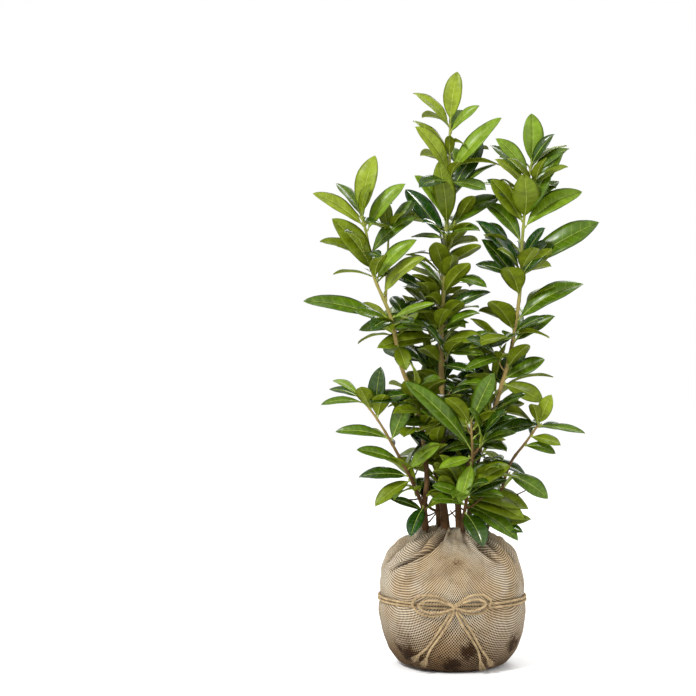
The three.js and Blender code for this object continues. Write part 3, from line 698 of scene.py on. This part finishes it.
def build_root_ball(s):
    """The wrapped ball: a rounded form with gathers, creases and a light pull at the twine, keeping at each
    point how much painted shade its crease gets.
    """
    sectors, rows = BALL_AROUND, BALL_ROWS
    run = np.concatenate([[0], np.cumsum(np.hypot(np.diff(PROFILE_R), np.diff(PROFILE_Z)))])
    wanted = np.linspace(0, run[-1], rows)
    raw_r = np.interp(wanted, run, PROFILE_R)
    raw_z = np.interp(wanted, run, PROFILE_Z)
    kernel = np.hanning(13)
    kernel /= kernel.sum()
    pad = len(kernel) // 2

    def eased(values, mirror):
        ends = np.concatenate([mirror * values[pad:0:-1], values, mirror * values[-2:-pad - 2:-1]])
        return np.convolve(ends, kernel, mode="valid")

    soft_r = eased(raw_r, -1)
    soft_z = eased(raw_z, 1)
    flat = raw_z < 0.5
    soft_z[flat] = np.minimum(soft_z[flat], 0.6)
    points, cloth, crease_shades = [(0.0, 0.0, 0.0)], [(0.0, 0.0)], [(0.0, 0.0)]
    bearings = np.linspace(0, 2 * math.pi, sectors, endpoint=False)
    for k in range(1, rows - 1):
        r0, z0, arc = soft_r[k], soft_z[k], wanted[k]
        waist = math.exp(-((z0 - WAIST_AT) / WAIST_SPREAD) ** 2)
        up_top = float(smooth(z0, NECK_LOW, NECK_HIGH))
        near_axis = float(smooth(r0, 4.0, 60.0))
        for a in bearings:
            r = r0 * float(gathers(a, z0, s.fold_depth)) - WAIST_PULL * waist
            z = z0
            crease_shade = 0.0
            for top, low, half, foot, share in CREASES:
                bearing = top + (low - top) * (1 - float(smooth(z0, foot, 244)))
                off = math.degrees(a) - bearing
                off = (off + 180) % 360 - 180
                off += 2.0 * math.sin(arc / 15.0 + top)
                width = half * (1 + 0.6 * up_top)
                depth = s.crease_depth / MM * share * float(smooth(z0, foot, foot + 34)) * near_axis
                pinch = math.exp(-(off / width) ** 2)
                lip = 0.45 * math.exp(-((abs(off) - 2.1 * width) / width) ** 2)
                # Painted shade for the crease: how far the cloth colour darkens at this point.
                crease_shade = max(crease_shade, min(1.0, depth / 6.0) * math.exp(-(1.5 * off / width) ** 2))
                r -= depth * (pinch - lip) * (1 - 0.45 * up_top)
                z -= depth * (pinch - lip) * 0.85 * up_top
            x, y = math.cos(a), math.sin(a)
            lump = noise.noise(Vector((x * 2.3, y * 2.3, z0 / 48.0))) * 2.6
            ripple = noise.noise(Vector((x * 9.0, y * 9.0, z0 / 16.0 + 7.0))) * 0.9
            tuck = noise.noise(Vector((x * 16.0, y * 16.0, z0 / 60.0 + 3.0))) * 1.6
            tuck *= (waist + up_top) * near_axis
            body = float(smooth(z0, 2.0, 26.0))
            r += (lump + ripple + tuck) * (0.25 + 0.75 * body) * min(1.0, r0 / 50.0)
            if z0 > 205:
                on_top = float(smooth(z0, 205, 235))
                z += 3.0 * noise.noise(Vector((x * r0 / 11.0, y * r0 / 11.0, 1.7))) * on_top
                z += collar_rise(r * x, r * y) * on_top
            points.append((r * x * MM, r * y * MM, max(0.0, z) * MM))
            turned = a + math.pi / 4 + math.pi / 2
            cloth.append((arc * MM * math.cos(turned), arc * MM * math.sin(turned)))
            crease_shades.append((crease_shade, 0.0))
    points.append((0.0, 0.0, 246 * MM))
    cloth.append((0.0, 0.0))
    crease_shades.append((0.0, 0.0))
    faces = [(0, 1 + (j + 1) % sectors, 1 + j) for j in range(sectors)]
    for i in range(rows - 3):
        a, b = 1 + i * sectors, 1 + (i + 1) * sectors
        faces += [(a + j, a + (j + 1) % sectors, b + (j + 1) % sectors, b + j) for j in range(sectors)]
    top, ring = len(points) - 1, 1 + (rows - 3) * sectors
    faces += [(top, ring + j, ring + (j + 1) % sectors) for j in range(sectors)]
    return make_object("burlap_wrap", points, faces, [burlap_material(s)],
                       layers={"cloth": cloth, "crease_shades": crease_shades})


# ---------------------------------------------------------------- stems

LIMB_STEP = 3.2  # distance between cross-sections
SCAR_EVERY = 27.0  # distance between leaf scars


def build_limb(name, settings, bark):
    """One tapering limb with wrinkled bark and a swelling at each leaf scar."""
    foot, tip, flare, path = LIMBS[name]
    centres, shares = Curve(path).even(LIMB_STEP)
    _, side, face = carried_frames(centres)
    offset = sum(ord(c) for c in name)
    points = []
    for i, (c, u) in enumerate(zip(centres, shares)):
        radius = foot + (tip - foot) * u + flare * math.exp(-u * 22)
        scar = (i * LIMB_STEP / SCAR_EVERY + 0.13 * offset) % 1.0
        radius += 0.5 * math.exp(-((scar - 0.5) / 0.09) ** 2)
        if i == len(centres) - 1:
            radius *= 0.45
        for j in range(LIMB_SIDES):
            a = 2 * math.pi * j / LIMB_SIDES
            grain = noise.noise(Vector((3.2 * math.cos(a), 3.2 * math.sin(a), c[2] / 26.0 + offset)))
            fine = noise.noise(Vector((7.0 * math.cos(a), 7.0 * math.sin(a), c[2] / 7.0 + offset)))
            worn = settings.relief / MM * (0.4 + 0.6 * (1 - u)) * (grain + 0.6 * fine)
            points.append((c + (radius + worn) * (math.cos(a) * side[i] + math.sin(a) * face[i])) * MM)
    return make_object("bark_" + name, points, rings_to_faces(0, len(centres), LIMB_SIDES), [bark])


# Bare twigs low down: limb, height, and how far the tip stands right, forward and up from it.
FOOT_TWIGS = [
    ("left_stem", 266, 22, 8, 24), ("left_stem", 282, 30, -6, 12), ("left_stem", 306, 34, 10, -20),
    ("left_stem", 322, -46, 14, -8), ("centre_stem", 260, -16, 12, 28), ("centre_stem", 280, 26, 16, 18),
    ("right_stem", 262, 24, 12, 26), ("right_stem", 286, 44, 8, 8), ("right_stem", 306, -30, 14, 22),
    ("right_shoot", 278, -22, 10, 26), ("right_shoot", 318, 50, 6, 14), ("front_shoot", 272, -24, 4, 24),
    ("front_shoot", 300, 34, 0, 22), ("back_shoot", 286, -34, 6, 26), ("back_right_shoot", 282, 36, -10, 24),
]

# ---------------------------------------------------------------- leaves

# Outline of a laurel leaf: half width against the widest, at shares of the blade from stalk to tip.
OUTLINE_AT = (0, 0.05, 0.12, 0.22, 0.34, 0.46, 0.58, 0.70, 0.80, 0.88, 0.94, 0.975, 1)
OUTLINE_WIDE = (0.05, 0.20, 0.44, 0.71, 0.90, 1.0, 1.01, 0.95, 0.80, 0.59, 0.36, 0.19, 0.0)


# A leaf's cross-section: shares of its half width, with the midrib in the middle.
ACROSS = np.array([-1, -0.72, -0.42, -0.16, 0, 0.16, 0.42, 0.72, 1.0])
RIB_STRIPS = (3, 4)  # strips of faces on either side of the midrib
STALK_SHARE = 0.09  # share of the reach taken up by the stalk
LEAF_ROWS, TWIG_LEAF_ROWS = 34, 22  # cross-sections along a leaf
LEAF_LEAST, LEAF_MOST = 18, 48  # narrowest and widest leaf
NO_VEIN = (0.5, 1.0)


class LeafGrower:
    """Grows whole leaves into one list of points and faces."""

    def __init__(self, settings, rng):
        self.s = settings
        self.rng = rng
        self.points = []
        self.faces = []
        self.slots = []
        self.veins = []

    def grow(self, foot, reach, tilt, tint, share, rows):
        """One leaf from its foot: stalk, rippled blade folded at the midrib, and pale back."""
        s, rng = self.s, self.rng
        length = float(np.linalg.norm(reach))
        along = reach / length
        lean = np.array([rng.uniform(-0.18, 0.18), 0, 0])
        side = np.cross(along, tilt + lean)
        side /= np.linalg.norm(side)
        face = np.cross(side, along)
        if tilt[1] == -FACE_TURN and abs(face[1]) < EDGE_ON:
            side = np.cross(along, lean + (0, BACK_TURN, 1))
            side /= np.linalg.norm(side)
            face = np.cross(side, along)
        arch = s.arch * rng.uniform(0.6, 1.6)
        curl = rng.uniform(-0.03, 0.09)
        sway = rng.uniform(-0.03, 0.03)
        width = min(max(length * share, LEAF_LEAST), LEAF_MOST) * s.width * rng.uniform(0.95, 1.06) / 2
        fold = s.fold * rng.uniform(0.6, 1.25)
        t = np.linspace(STALK_SHARE, 1.0, rows)
        b = (t - STALK_SHARE) / (1 - STALK_SHARE)
        half = width * np.interp(b, OUTLINE_AT, OUTLINE_WIDE) + 0.2
        bow = (arch * 4 * t * (1 - t) - curl * t ** 3) * length
        mid = (foot + reach * t[:, None] + face * bow[:, None]
               + side * (sway * length * np.sin(math.pi * t))[:, None])
        angle = rng.uniform(-0.22, 0.22) * b
        local_side = side * np.cos(angle)[:, None] + face * np.sin(angle)[:, None]
        local_face = face * np.cos(angle)[:, None] - side * np.sin(angle)[:, None]
        rib = np.clip(0.6 * (1 - b) + 0.22, 0.22, 0.8)
        x = ACROSS[None, :] * half[:, None]
        x[:, 3] = np.maximum(x[:, 3], -rib)
        x[:, 5] = np.minimum(x[:, 5], rib)
        away = np.abs(x) / np.maximum(half[:, None], 0.3)
        lift = fold * np.abs(x) * (1 - 0.42 * away)
        pairs = s.vein_pairs * rows / LEAF_ROWS
        phase = pairs * b[:, None] - 0.85 * np.abs(x) / width
        ripple = s.vein_depth / MM * np.cos(2 * math.pi * phase) * np.sin(math.pi * away)
        ripple *= np.minimum(1.0, half[:, None] / 8)
        wave = 0.035 * width * np.sin(4.2 * math.pi * b[:, None] + rng.uniform(0, 6))
        wave = wave * away ** 2 * np.sign(x)
        up = lift - ripple + wave
        up[:, 4] -= 0.45
        top = (mid[:, None, :] + local_side[:, None, :] * x[..., None]
               + local_face[:, None, :] * up[..., None])
        thick = 0.45 + 1.3 * np.exp(-(x / np.maximum(rib[:, None] * 1.2, 0.4)) ** 2)
        back = top - local_face[:, None, :] * thick[..., None]
        cols = len(ACROSS)
        start = len(self.points)
        self.points += list(top.reshape(-1, 3) * MM)
        self.veins += list(zip(phase.ravel(), away.ravel()))
        lower = start + rows * cols
        inner = cols - 2
        self.points += list(back[:, 1:-1].reshape(-1, 3) * MM)
        self.veins += list(zip(phase[:, 1:-1].ravel(), away[:, 1:-1].ravel()))
        tint_slot = LEAF_TINTS.index(tint)
        under_slot, rib_slot = len(LEAF_TINTS), len(LEAF_TINTS) + 1

        def under(i, j):
            if j == 0 or j == cols - 1:
                return start + i * cols + j
            return lower + i * inner + j - 1

        for i in range(rows - 1):
            for j in range(cols - 1):
                a = start + i * cols + j
                self.faces.append((a, a + 1, a + cols + 1, a + cols))
                self.slots.append(rib_slot if j in RIB_STRIPS and i < rows - 4 else tint_slot)
                self.faces.append((under(i, j), under(i + 1, j), under(i + 1, j + 1), under(i, j + 1)))
                self.slots.append(rib_slot if j in RIB_STRIPS else under_slot)
        for i, flip in ((0, False), (rows - 1, True)):
            ring = [start + i * cols + j for j in range(cols)]
            ring += [under(i, j) for j in range(cols - 2, 0, -1)]
            self.faces.append(tuple(ring if flip else ring[::-1]))
            self.slots.append(rib_slot)
        self.stalk(foot, mid[2], along, side, face, rib_slot)

    def stalk(self, foot, joint, along, side, face, slot):
        """The short round stalk between shoot and blade."""
        start = len(self.points)
        steps, radii = (0.0, 0.35, 0.7, 1.0), (1.5, 1.15, 1.05, 0.7)
        for k, t in enumerate(steps):
            c = foot + (joint - foot) * t
            self.points += ring_points(c, radii[k], side, face, SMALL_SIDES)
        self.close_tube(start, len(steps), slot)

    def bud(self, foot, along, slot):
        """A small pointed bud in the angle of a leaf."""
        side = np.cross(along, (0.0, 1.0, 0.0))
        side /= max(np.linalg.norm(side), 1e-6)
        face = np.cross(along, side)
        start = len(self.points)
        sizes = (0.9, 1.7, 1.5, 0.3)
        for k, radius in enumerate(sizes):
            self.points += ring_points(foot + along * (k * 2.3), radius, side, face, SMALL_SIDES)
        self.close_tube(start, len(sizes), slot)

    def close_tube(self, start, rings, slot):
        """Faces and veinless layout for the rings of a stalk or bud."""
        faces = rings_to_faces(start, rings, SMALL_SIDES)
        self.faces += faces
        self.slots += [slot] * len(faces)
        self.veins += [NO_VEIN] * (rings * SMALL_SIDES)


def share_at(curve, z):
    low, high = 0.0, 1.0
    for _ in range(30):
        mid = (low + high) / 2
        if curve.at(mid)[2] < z:
            low = mid
        else:
            high = mid
    return (low + high) / 2


def leaves_of(spray):
    """The rows of a spray, then its far-side and all-round leaves by the growing rule."""
    _, rear, ring, _, _, rows = spray
    rows = list(rows)
    heights = [row[0] for row in rows]
    low, high = (min(heights), max(heights)) if rows else ring[:2]
    for k in range(rear):
        share = (k + 0.5) / rear
        bearing = math.radians((share - 0.5) * 2 * REAR_SPREAD)
        rows.append((low + (high - low) * (1 - share * 0.8), REAR_REACH * math.sin(bearing),
                     -REAR_REACH * math.cos(bearing), REAR_RISE * (0.7 + 0.5 * (k % 2)), -FACE_TURN))
    if ring:
        low, high, count = ring
        for k in range(count):
            share = k / (count - 1)
            bearing = math.radians(40 + ROUND_TURN * k)
            reach = ROUND_REACH * (1 - 0.35 * share)
            rows.append((low + (high - low) * share, reach * math.cos(bearing), reach * math.sin(bearing),
                         ROUND_RISE * (0.5 + share), -FACE_TURN))
    return [tuple(row) + (FACE_TURN, LEAF_WIDTH)[len(row) - 4:] for row in rows]


def lay_twig(route, thick, twig_points, twig_faces):
    """A thin round twig along a curve, tapering from `thick` at its foot."""
    centres, shares = route.even(5.0)
    _, side, face = carried_frames(centres)
    start = len(twig_points)
    for i, c in enumerate(centres):
        twig_points += ring_points(c, thick * (1 - 0.42 * shares[i]), side[i], face[i], TWIG_SIDES)
    twig_faces += rings_to_faces(start, len(centres), TWIG_SIDES)


def grow_foot_twigs(twig_points, twig_faces):
    """Bare twigs low on the stems, each bowing upwards on its way out."""
    for limb, z, right, forward, rise in FOOT_TWIGS:
        curve = Curve(LIMBS[limb][3])
        foot = curve.at(share_at(curve, z))
        out = np.array([right, -forward, rise], dtype=float)
        sag = np.array([0, 0, 0.10 * np.linalg.norm(out)])
        lay_twig(Curve([foot, foot + out * 0.35 - sag, foot + out * 0.7 - sag * 0.6, foot + out]), 1.9,
                 twig_points, twig_faces)


def grow_twigs(grower, curve, heights, count, tints, twig_points, twig_faces):
    """Side twigs by the branching rule: each turns on from the last and bears a fan of leaves."""
    rng = grower.rng
    low, high = min(heights) - 12, max(heights) + 4
    bearing = rng.uniform(0, 2 * math.pi)
    for k in range(count):
        bearing += math.radians(ROUND_TURN) + rng.uniform(-0.35, 0.35)
        z = low + (high - low) * (k + rng.uniform(0.2, 0.8)) / count
        foot = curve.at(share_at(curve, z))
        out = np.array([0.8 * math.cos(bearing), math.sin(bearing), 0.0])
        heading = out + np.array([0, 0, rng.uniform(0.5, 1.1)])
        heading /= np.linalg.norm(heading)
        length = rng.uniform(22, 46)
        end = foot + heading * length + np.array([0, 0, 4])
        route = Curve([foot, foot + heading * length * 0.5 + out * 2, end])
        lay_twig(route, 1.7, twig_points, twig_faces)
        fan = rng.choice((3, 3, 4))
        for m in range(fan):
            swing = (m - (fan - 1) / 2) * 1.05 + rng.uniform(-0.2, 0.2)
            spread = bearing + swing
            reach = np.array([0.8 * math.cos(spread), math.sin(spread), rng.uniform(-0.25, 1.15)])
            size = grower.s.twig_leaf / MM * rng.uniform(0.8, 1.25)
            reach *= size / np.linalg.norm(reach)
            at = route.at(1.0 - 0.35 * abs(swing) / 1.6)
            tilt = np.array([0.55 * math.cos(spread), 0.55 * math.sin(spread), 1.0])
            if out[1] < 0:
                tilt = np.array([0.0, -0.8, 1.0])
            tip = (at + reach) * MM
            if np.any(tip < CAD_BOX[0]) or np.any(tip > CAD_BOX[1]):
                continue
            tint = rng.choice(tints)
            grower.grow(at, reach, tilt, tint, LEAF_WIDTH * rng.uniform(0.95, 1.35), TWIG_LEAF_ROWS)


def build_foliage(piece, sprays, settings, materials, twigs):
    """All the leaves of some sprays in one mesh; their twigs go into the shared lists."""
    rng = random.Random(settings.seed * 1000 + sum(ord(c) for c in piece))
    grower = LeafGrower(settings, rng)
    for name in sprays:
        limb, _, ring, twig_count, tints, _ = SPRAYS[name]
        tints = tints.split()
        curve = Curve(LIMBS[limb][3])
        rows = leaves_of(SPRAYS[name])
        for k, (z, right, forward, rise, turn, share) in enumerate(rows):
            foot = curve.at(share_at(curve, z))
            reach = np.array([right, -forward, rise], dtype=float)
            grower.grow(foot, reach, np.array([0, -turn, 1.0]), tints[k % len(tints)], share, LEAF_ROWS)
            outward = reach / np.linalg.norm(reach) * 0.5 + np.array([0, 0, 0.9])
            grower.bud(foot + reach / np.linalg.norm(reach) * 4.5, outward / np.linalg.norm(outward),
                       len(LEAF_TINTS) + 1)
        shaded = [t for t in tints if t not in ("young", "fresh")] + ["dark"]
        grow_twigs(grower, curve, [row[0] for row in rows], twig_count, shaded, *twigs)
    return make_object(piece, grower.points, grower.faces, materials, grower.slots,
                       layers={"veins": grower.veins})


# ---------------------------------------------------------------- twine

PLIES = 3


def before(x, z, lift, depth):
    """A point in front of the ball, `lift` off the cloth."""
    r = float(skin_radius(-math.pi / 2 + x / 140, z, depth)) + lift
    return np.array([x, -math.sqrt(max(r * r - x * x, 1.0)), z])


def twisted(centres, settings, closed=False, phase=0.0):
    """Three jute plies twisted along a line of points in millimetres."""
    points, faces = [], []
    half = settings.half_thickness / MM
    lay = settings.lay / MM
    _, side, face = carried_frames(centres, closed)
    steps = np.linalg.norm(np.diff(centres, axis=0), axis=1)
    run = np.concatenate([[0], np.cumsum(steps)])
    turns = run / lay
    if closed:
        whole = run[-1] + np.linalg.norm(centres[0] - centres[-1])
        turns = run / whole * round(whole / lay)
    for ply in range(PLIES):
        angle = 2 * math.pi * (turns + ply / PLIES) + phase
        swell = 1 + 0.10 * np.array([noise.noise(Vector((r / 6.0, ply * 5.0, phase))) for r in run])
        middle = centres + 0.50 * half * (np.cos(angle)[:, None] * side + np.sin(angle)[:, None] * face)
        start = len(points)
        for i, c in enumerate(middle):
            points += ring_points(c, 0.56 * half * swell[i], side[i], face[i], SMALL_SIDES)
        faces += rings_to_faces(start, len(middle), SMALL_SIDES, closed)
    return points, faces


def fibres(points, faces, at, along, count, length, spread, rng):
    """Thin stray fibres that splay from one place."""
    helper = np.array([0.3, 0.9, 0.2])
    for _ in range(count):
        away = np.array([rng.gauss(0, 1), rng.gauss(0, 1), rng.gauss(0, 1)])
        heading = along + spread * away / max(np.linalg.norm(away), 1e-6)
        heading /= np.linalg.norm(heading)
        side = np.cross(heading, helper)
        side /= np.linalg.norm(side)
        face = np.cross(heading, side)
        reach = length * rng.uniform(0.6, 1.1)
        bend = np.array([rng.gauss(0, 1), rng.gauss(0, 1), -0.8]) * reach * 0.10
        start = len(points)
        for k in range(4):
            t = k / 3
            c = at + heading * reach * t + bend * t * t
            points += ring_points(c, 0.46 * (1 - 0.6 * t), side, face, FIBRE_SIDES)
        faces += rings_to_faces(start, 4, FIBRE_SIDES)


def build_band(name, height, ball, twine, material):
    """One strand of twine round the middle of the ball."""
    count = 640
    bearings = np.linspace(0, 2 * math.pi, count, endpoint=False)
    radii = np.array([float(skin_radius(a, height, ball.fold_depth)) for a in bearings])
    radii = radii + 0.2 + twine.half_thickness / MM
    wander = np.array([noise.noise(Vector((math.cos(a) * 2, math.sin(a) * 2, height))) for a in bearings])
    centres = np.stack([radii * np.cos(bearings), radii * np.sin(bearings), height + 1.2 * wander], axis=1)
    points, faces = twisted(centres, twine, closed=True, phase=height)
    return make_object(name, points, faces, [material])


def build_bow_strand(name, route, ball, twine, material):
    """One strand of the bow; a tail ends in a splayed tuft."""
    rng = random.Random(sum(ord(c) for c in name))
    curve = Curve([before(*q, ball.fold_depth) for q in route])
    centres, _ = curve.even(1.2)
    points, faces = twisted(centres, twine, phase=rng.uniform(0, 6))
    if "tail" in name:
        along = centres[-1] - centres[-4]
        along /= np.linalg.norm(along)
        fibres(points, faces, centres[-1] - along * 5, along, 150, 23, 0.24, rng)
    for _ in range(10):
        k = rng.randrange(4, len(centres) - 4)
        along = centres[k + 2] - centres[k - 2]
        along /= np.linalg.norm(along)
        fibres(points, faces, centres[k], along, 1, 6, 0.6, rng)
    return make_object(name, points, faces, [material])


def build_knot(ball, twine, material):
    """The knot: a few turns of twine pulled tight over each other."""
    centre = before(*KNOT_AT, ball.fold_depth)
    points, faces = [], []
    turns = [((1.0, 0.0, 0.25), 6.4, -3.2), ((0.9, 0.0, -0.45), 6.6, 0.0), ((1.0, 0.0, 0.1), 6.2, 3.2),
             ((0.2, 0.1, 1.0), 5.6, 0.5)]
    for k, (axis, radius, shift) in enumerate(turns):
        axis = np.array(axis) / np.linalg.norm(axis)
        side = np.cross(axis, (0.0, 1.0, 0.0))
        side /= np.linalg.norm(side)
        face = np.cross(axis, side)
        angles = np.linspace(0, 2 * math.pi, 34, endpoint=False)
        ring = [centre + axis * shift + radius * (0.92 * math.cos(a) * side + 0.80 * math.sin(a) * face)
                for a in angles]
        p, f = twisted(np.array(ring), twine, closed=True, phase=k)
        start = len(points)
        points += p
        faces += [tuple(start + i for i in face_) for face_ in f]
    return make_object("bow_knot_turns", points, faces, [material])


# ---------------------------------------------------------------- stage

def build_stage(s):
    """Pale floor, even room light, one large soft key light and a fill, and the camera."""
    scene = bpy.context.scene
    world = bpy.data.worlds.new("room_light")
    world.use_nodes = True
    background = world.node_tree.nodes["Background"]
    background.inputs["Color"].default_value = (1, 1, 1, 1)
    background.inputs["Strength"].default_value = s.sky
    scene.world = world
    half = 14.0
    floor = make_object("floor", [(-half, -half, 0), (half, -half, 0), (half, half, 0), (-half, half, 0)],
                        [(0, 1, 2, 3)], [], smooth=False)
    n = Nodes("floor_paint")
    n.colour(n.blend(n.noise(n.place(), 3.0), s.floor_colour, tuple(c * 1.03 for c in s.floor_colour)))
    n.roughness(0.85)
    floor.data.materials.append(n.material)
    for name, place, size, power in (("key_light", (-1.9, -2.6, 3.0), 0.8, s.key),
                                     ("fill_light", (2.6, -2.2, 1.6), 2.2, s.key * 0.16),
                                     ("rim_light", (0.8, 2.6, 2.6), 1.6, s.key * 0.3)):
        light = bpy.data.lights.new(name, "AREA")
        light.energy = power
        light.size = size
        lamp = bpy.data.objects.new(name, light)
        lamp.location = place
        aim = Vector((0, 0, 0.55)) - Vector(place)
        lamp.rotation_euler = aim.to_track_quat("-Z", "Y").to_euler()
        scene.collection.objects.link(lamp)
    camera = bpy.data.cameras.new("camera")
    camera.lens = s.lens
    camera.sensor_width = 36.0
    camera.clip_end = 100.0
    eye = bpy.data.objects.new("camera", camera)
    eye.location = s.camera_at
    eye.rotation_euler = (math.radians(90), 0, 0)
    scene.collection.objects.link(eye)
    scene.camera = eye
    scene.view_settings.view_transform = "Standard"


# ---------------------------------------------------------------- operators

class SAPLING_OT_stage(bpy.types.Operator):
    """Set up the floor, light and camera"""
    bl_idname = "sapling.stage"
    bl_label = "Stage"

    def execute(self, context):
        build_stage(context.scene.sapling_stage)
        return {"FINISHED"}


class SAPLING_OT_root_ball(bpy.types.Operator):
    """Wrap the root ball in burlap"""
    bl_idname = "sapling.root_ball"
    bl_label = "Root Ball"

    def execute(self, context):
        obj = build_root_ball(context.scene.sapling_ball)
        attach(obj, "root")
        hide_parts("root_ball")
        return {"FINISHED"}


class SAPLING_OT_stems(bpy.types.Operator):
    """Grow the stems and side shoots with bark relief"""
    bl_idname = "sapling.stems"
    bl_label = "Stems and Shoots"

    def execute(self, context):
        settings = context.scene.sapling_stem
        bark = bark_material(settings)
        for name in LIMBS:
            obj = build_limb(name, settings, bark)
            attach(obj, "root")
            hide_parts(name)
        return {"FINISHED"}


class SAPLING_OT_foliage(bpy.types.Operator):
    """Grow the leaves of every spray"""
    bl_idname = "sapling.foliage"
    bl_label = "Foliage"

    def execute(self, context):
        s = context.scene.sapling_leaf
        skins = [("leaf_young", s.young, 0.36, 0.20, 0.60), ("leaf_fresh", s.fresh, 0.30, 0.24, 0.50),
                 ("leaf_olive", s.olive, 0.34, 0.18, 0.30), ("leaf_mid", s.mid, 0.25, 0.30, 0.34),
                 ("leaf_dark", s.dark, 0.18, 0.45, 0.20), ("leaf_deep", s.deep, 0.15, 0.52, 0.16),
                 ("leaf_underside", s.underside, 0.50, 0.12, 0.30),
                 ("leaf_midrib", s.midrib, 0.45, 0.20, 0.0)]
        materials = [leaf_material(*skin[:4], s.midrib, skin[4]) for skin in skins]
        twigs = ([], [])
        for piece, sprays in FOLIAGE.items():
            obj = build_foliage(piece, sprays, s, materials, twigs)
            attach(obj, "root")
            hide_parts(*["leaves_" + name for name in sprays])
        grow_foot_twigs(*twigs)
        obj = make_object("side_twigs", *twigs, [bark_material(context.scene.sapling_stem)])
        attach(obj, "root")
        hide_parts(*["leaves_" + name for name in SPRAYS if SPRAYS[name][3]])
        return {"FINISHED"}


class SAPLING_OT_twine(bpy.types.Operator):
    """Tie the twine round the ball, with its knot and bow"""
    bl_idname = "sapling.twine"
    bl_label = "Twine and Bow"

    def execute(self, context):
        ball = context.scene.sapling_ball
        twine = context.scene.sapling_twine
        jute = jute_material(twine)
        pieces = [(build_band("jute_" + name, height, ball, twine, jute), name)
                  for name, height in BANDS.items()]
        pieces += [(build_bow_strand("jute_" + name, route, ball, twine, jute), name)
                   for name, route in BOW.items()]
        pieces.append((build_knot(ball, twine, jute), "bow_knot"))
        for obj, node in pieces:
            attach(obj, "root")
            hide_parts(node)
        return {"FINISHED"}


class SAPLING_PT_panel(bpy.types.Panel):
    """Buttons and sizes for the sapling"""
    bl_idname = "SAPLING_PT_panel"
    bl_label = "Laurel Sapling"
    bl_space_type = "VIEW_3D"
    bl_region_type = "UI"
    bl_category = "Sapling"

    def draw(self, context):
        layout = self.layout
        for operator, group in PANEL_ROWS:
            box = layout.box()
            box.operator(operator)
            settings = getattr(context.scene, group)
            for key in settings.__annotations__:
                box.prop(settings, key)


PANEL_ROWS = (
    ("sapling.stage", "sapling_stage"),
    ("sapling.root_ball", "sapling_ball"),
    ("sapling.stems", "sapling_stem"),
    ("sapling.foliage", "sapling_leaf"),
    ("sapling.twine", "sapling_twine"),
)
GROUPS = {
    "sapling_ball": BallSettings,
    "sapling_stem": StemSettings,
    "sapling_leaf": LeafSettings,
    "sapling_twine": TwineSettings,
    "sapling_stage": StageSettings,
}
CLASSES = (
    BallSettings, StemSettings, LeafSettings, TwineSettings, StageSettings,
    SAPLING_OT_stage, SAPLING_OT_root_ball, SAPLING_OT_stems, SAPLING_OT_foliage, SAPLING_OT_twine,
    SAPLING_PT_panel,
)


def register():
    for cls in CLASSES:
        bpy.utils.register_class(cls)
    for name, group in GROUPS.items():
        setattr(bpy.types.Scene, name, PointerProperty(type=group))


def unregister():
    for name in GROUPS:
        delattr(bpy.types.Scene, name)
    for cls in reversed(CLASSES):
        bpy.utils.unregister_class(cls)


def main():
    register()
    bpy.ops.sapling.stage()
    bpy.ops.sapling.root_ball()
    bpy.ops.sapling.stems()
    bpy.ops.sapling.foliage()
    bpy.ops.sapling.twine()


if __name__ == "__main__":
    main()
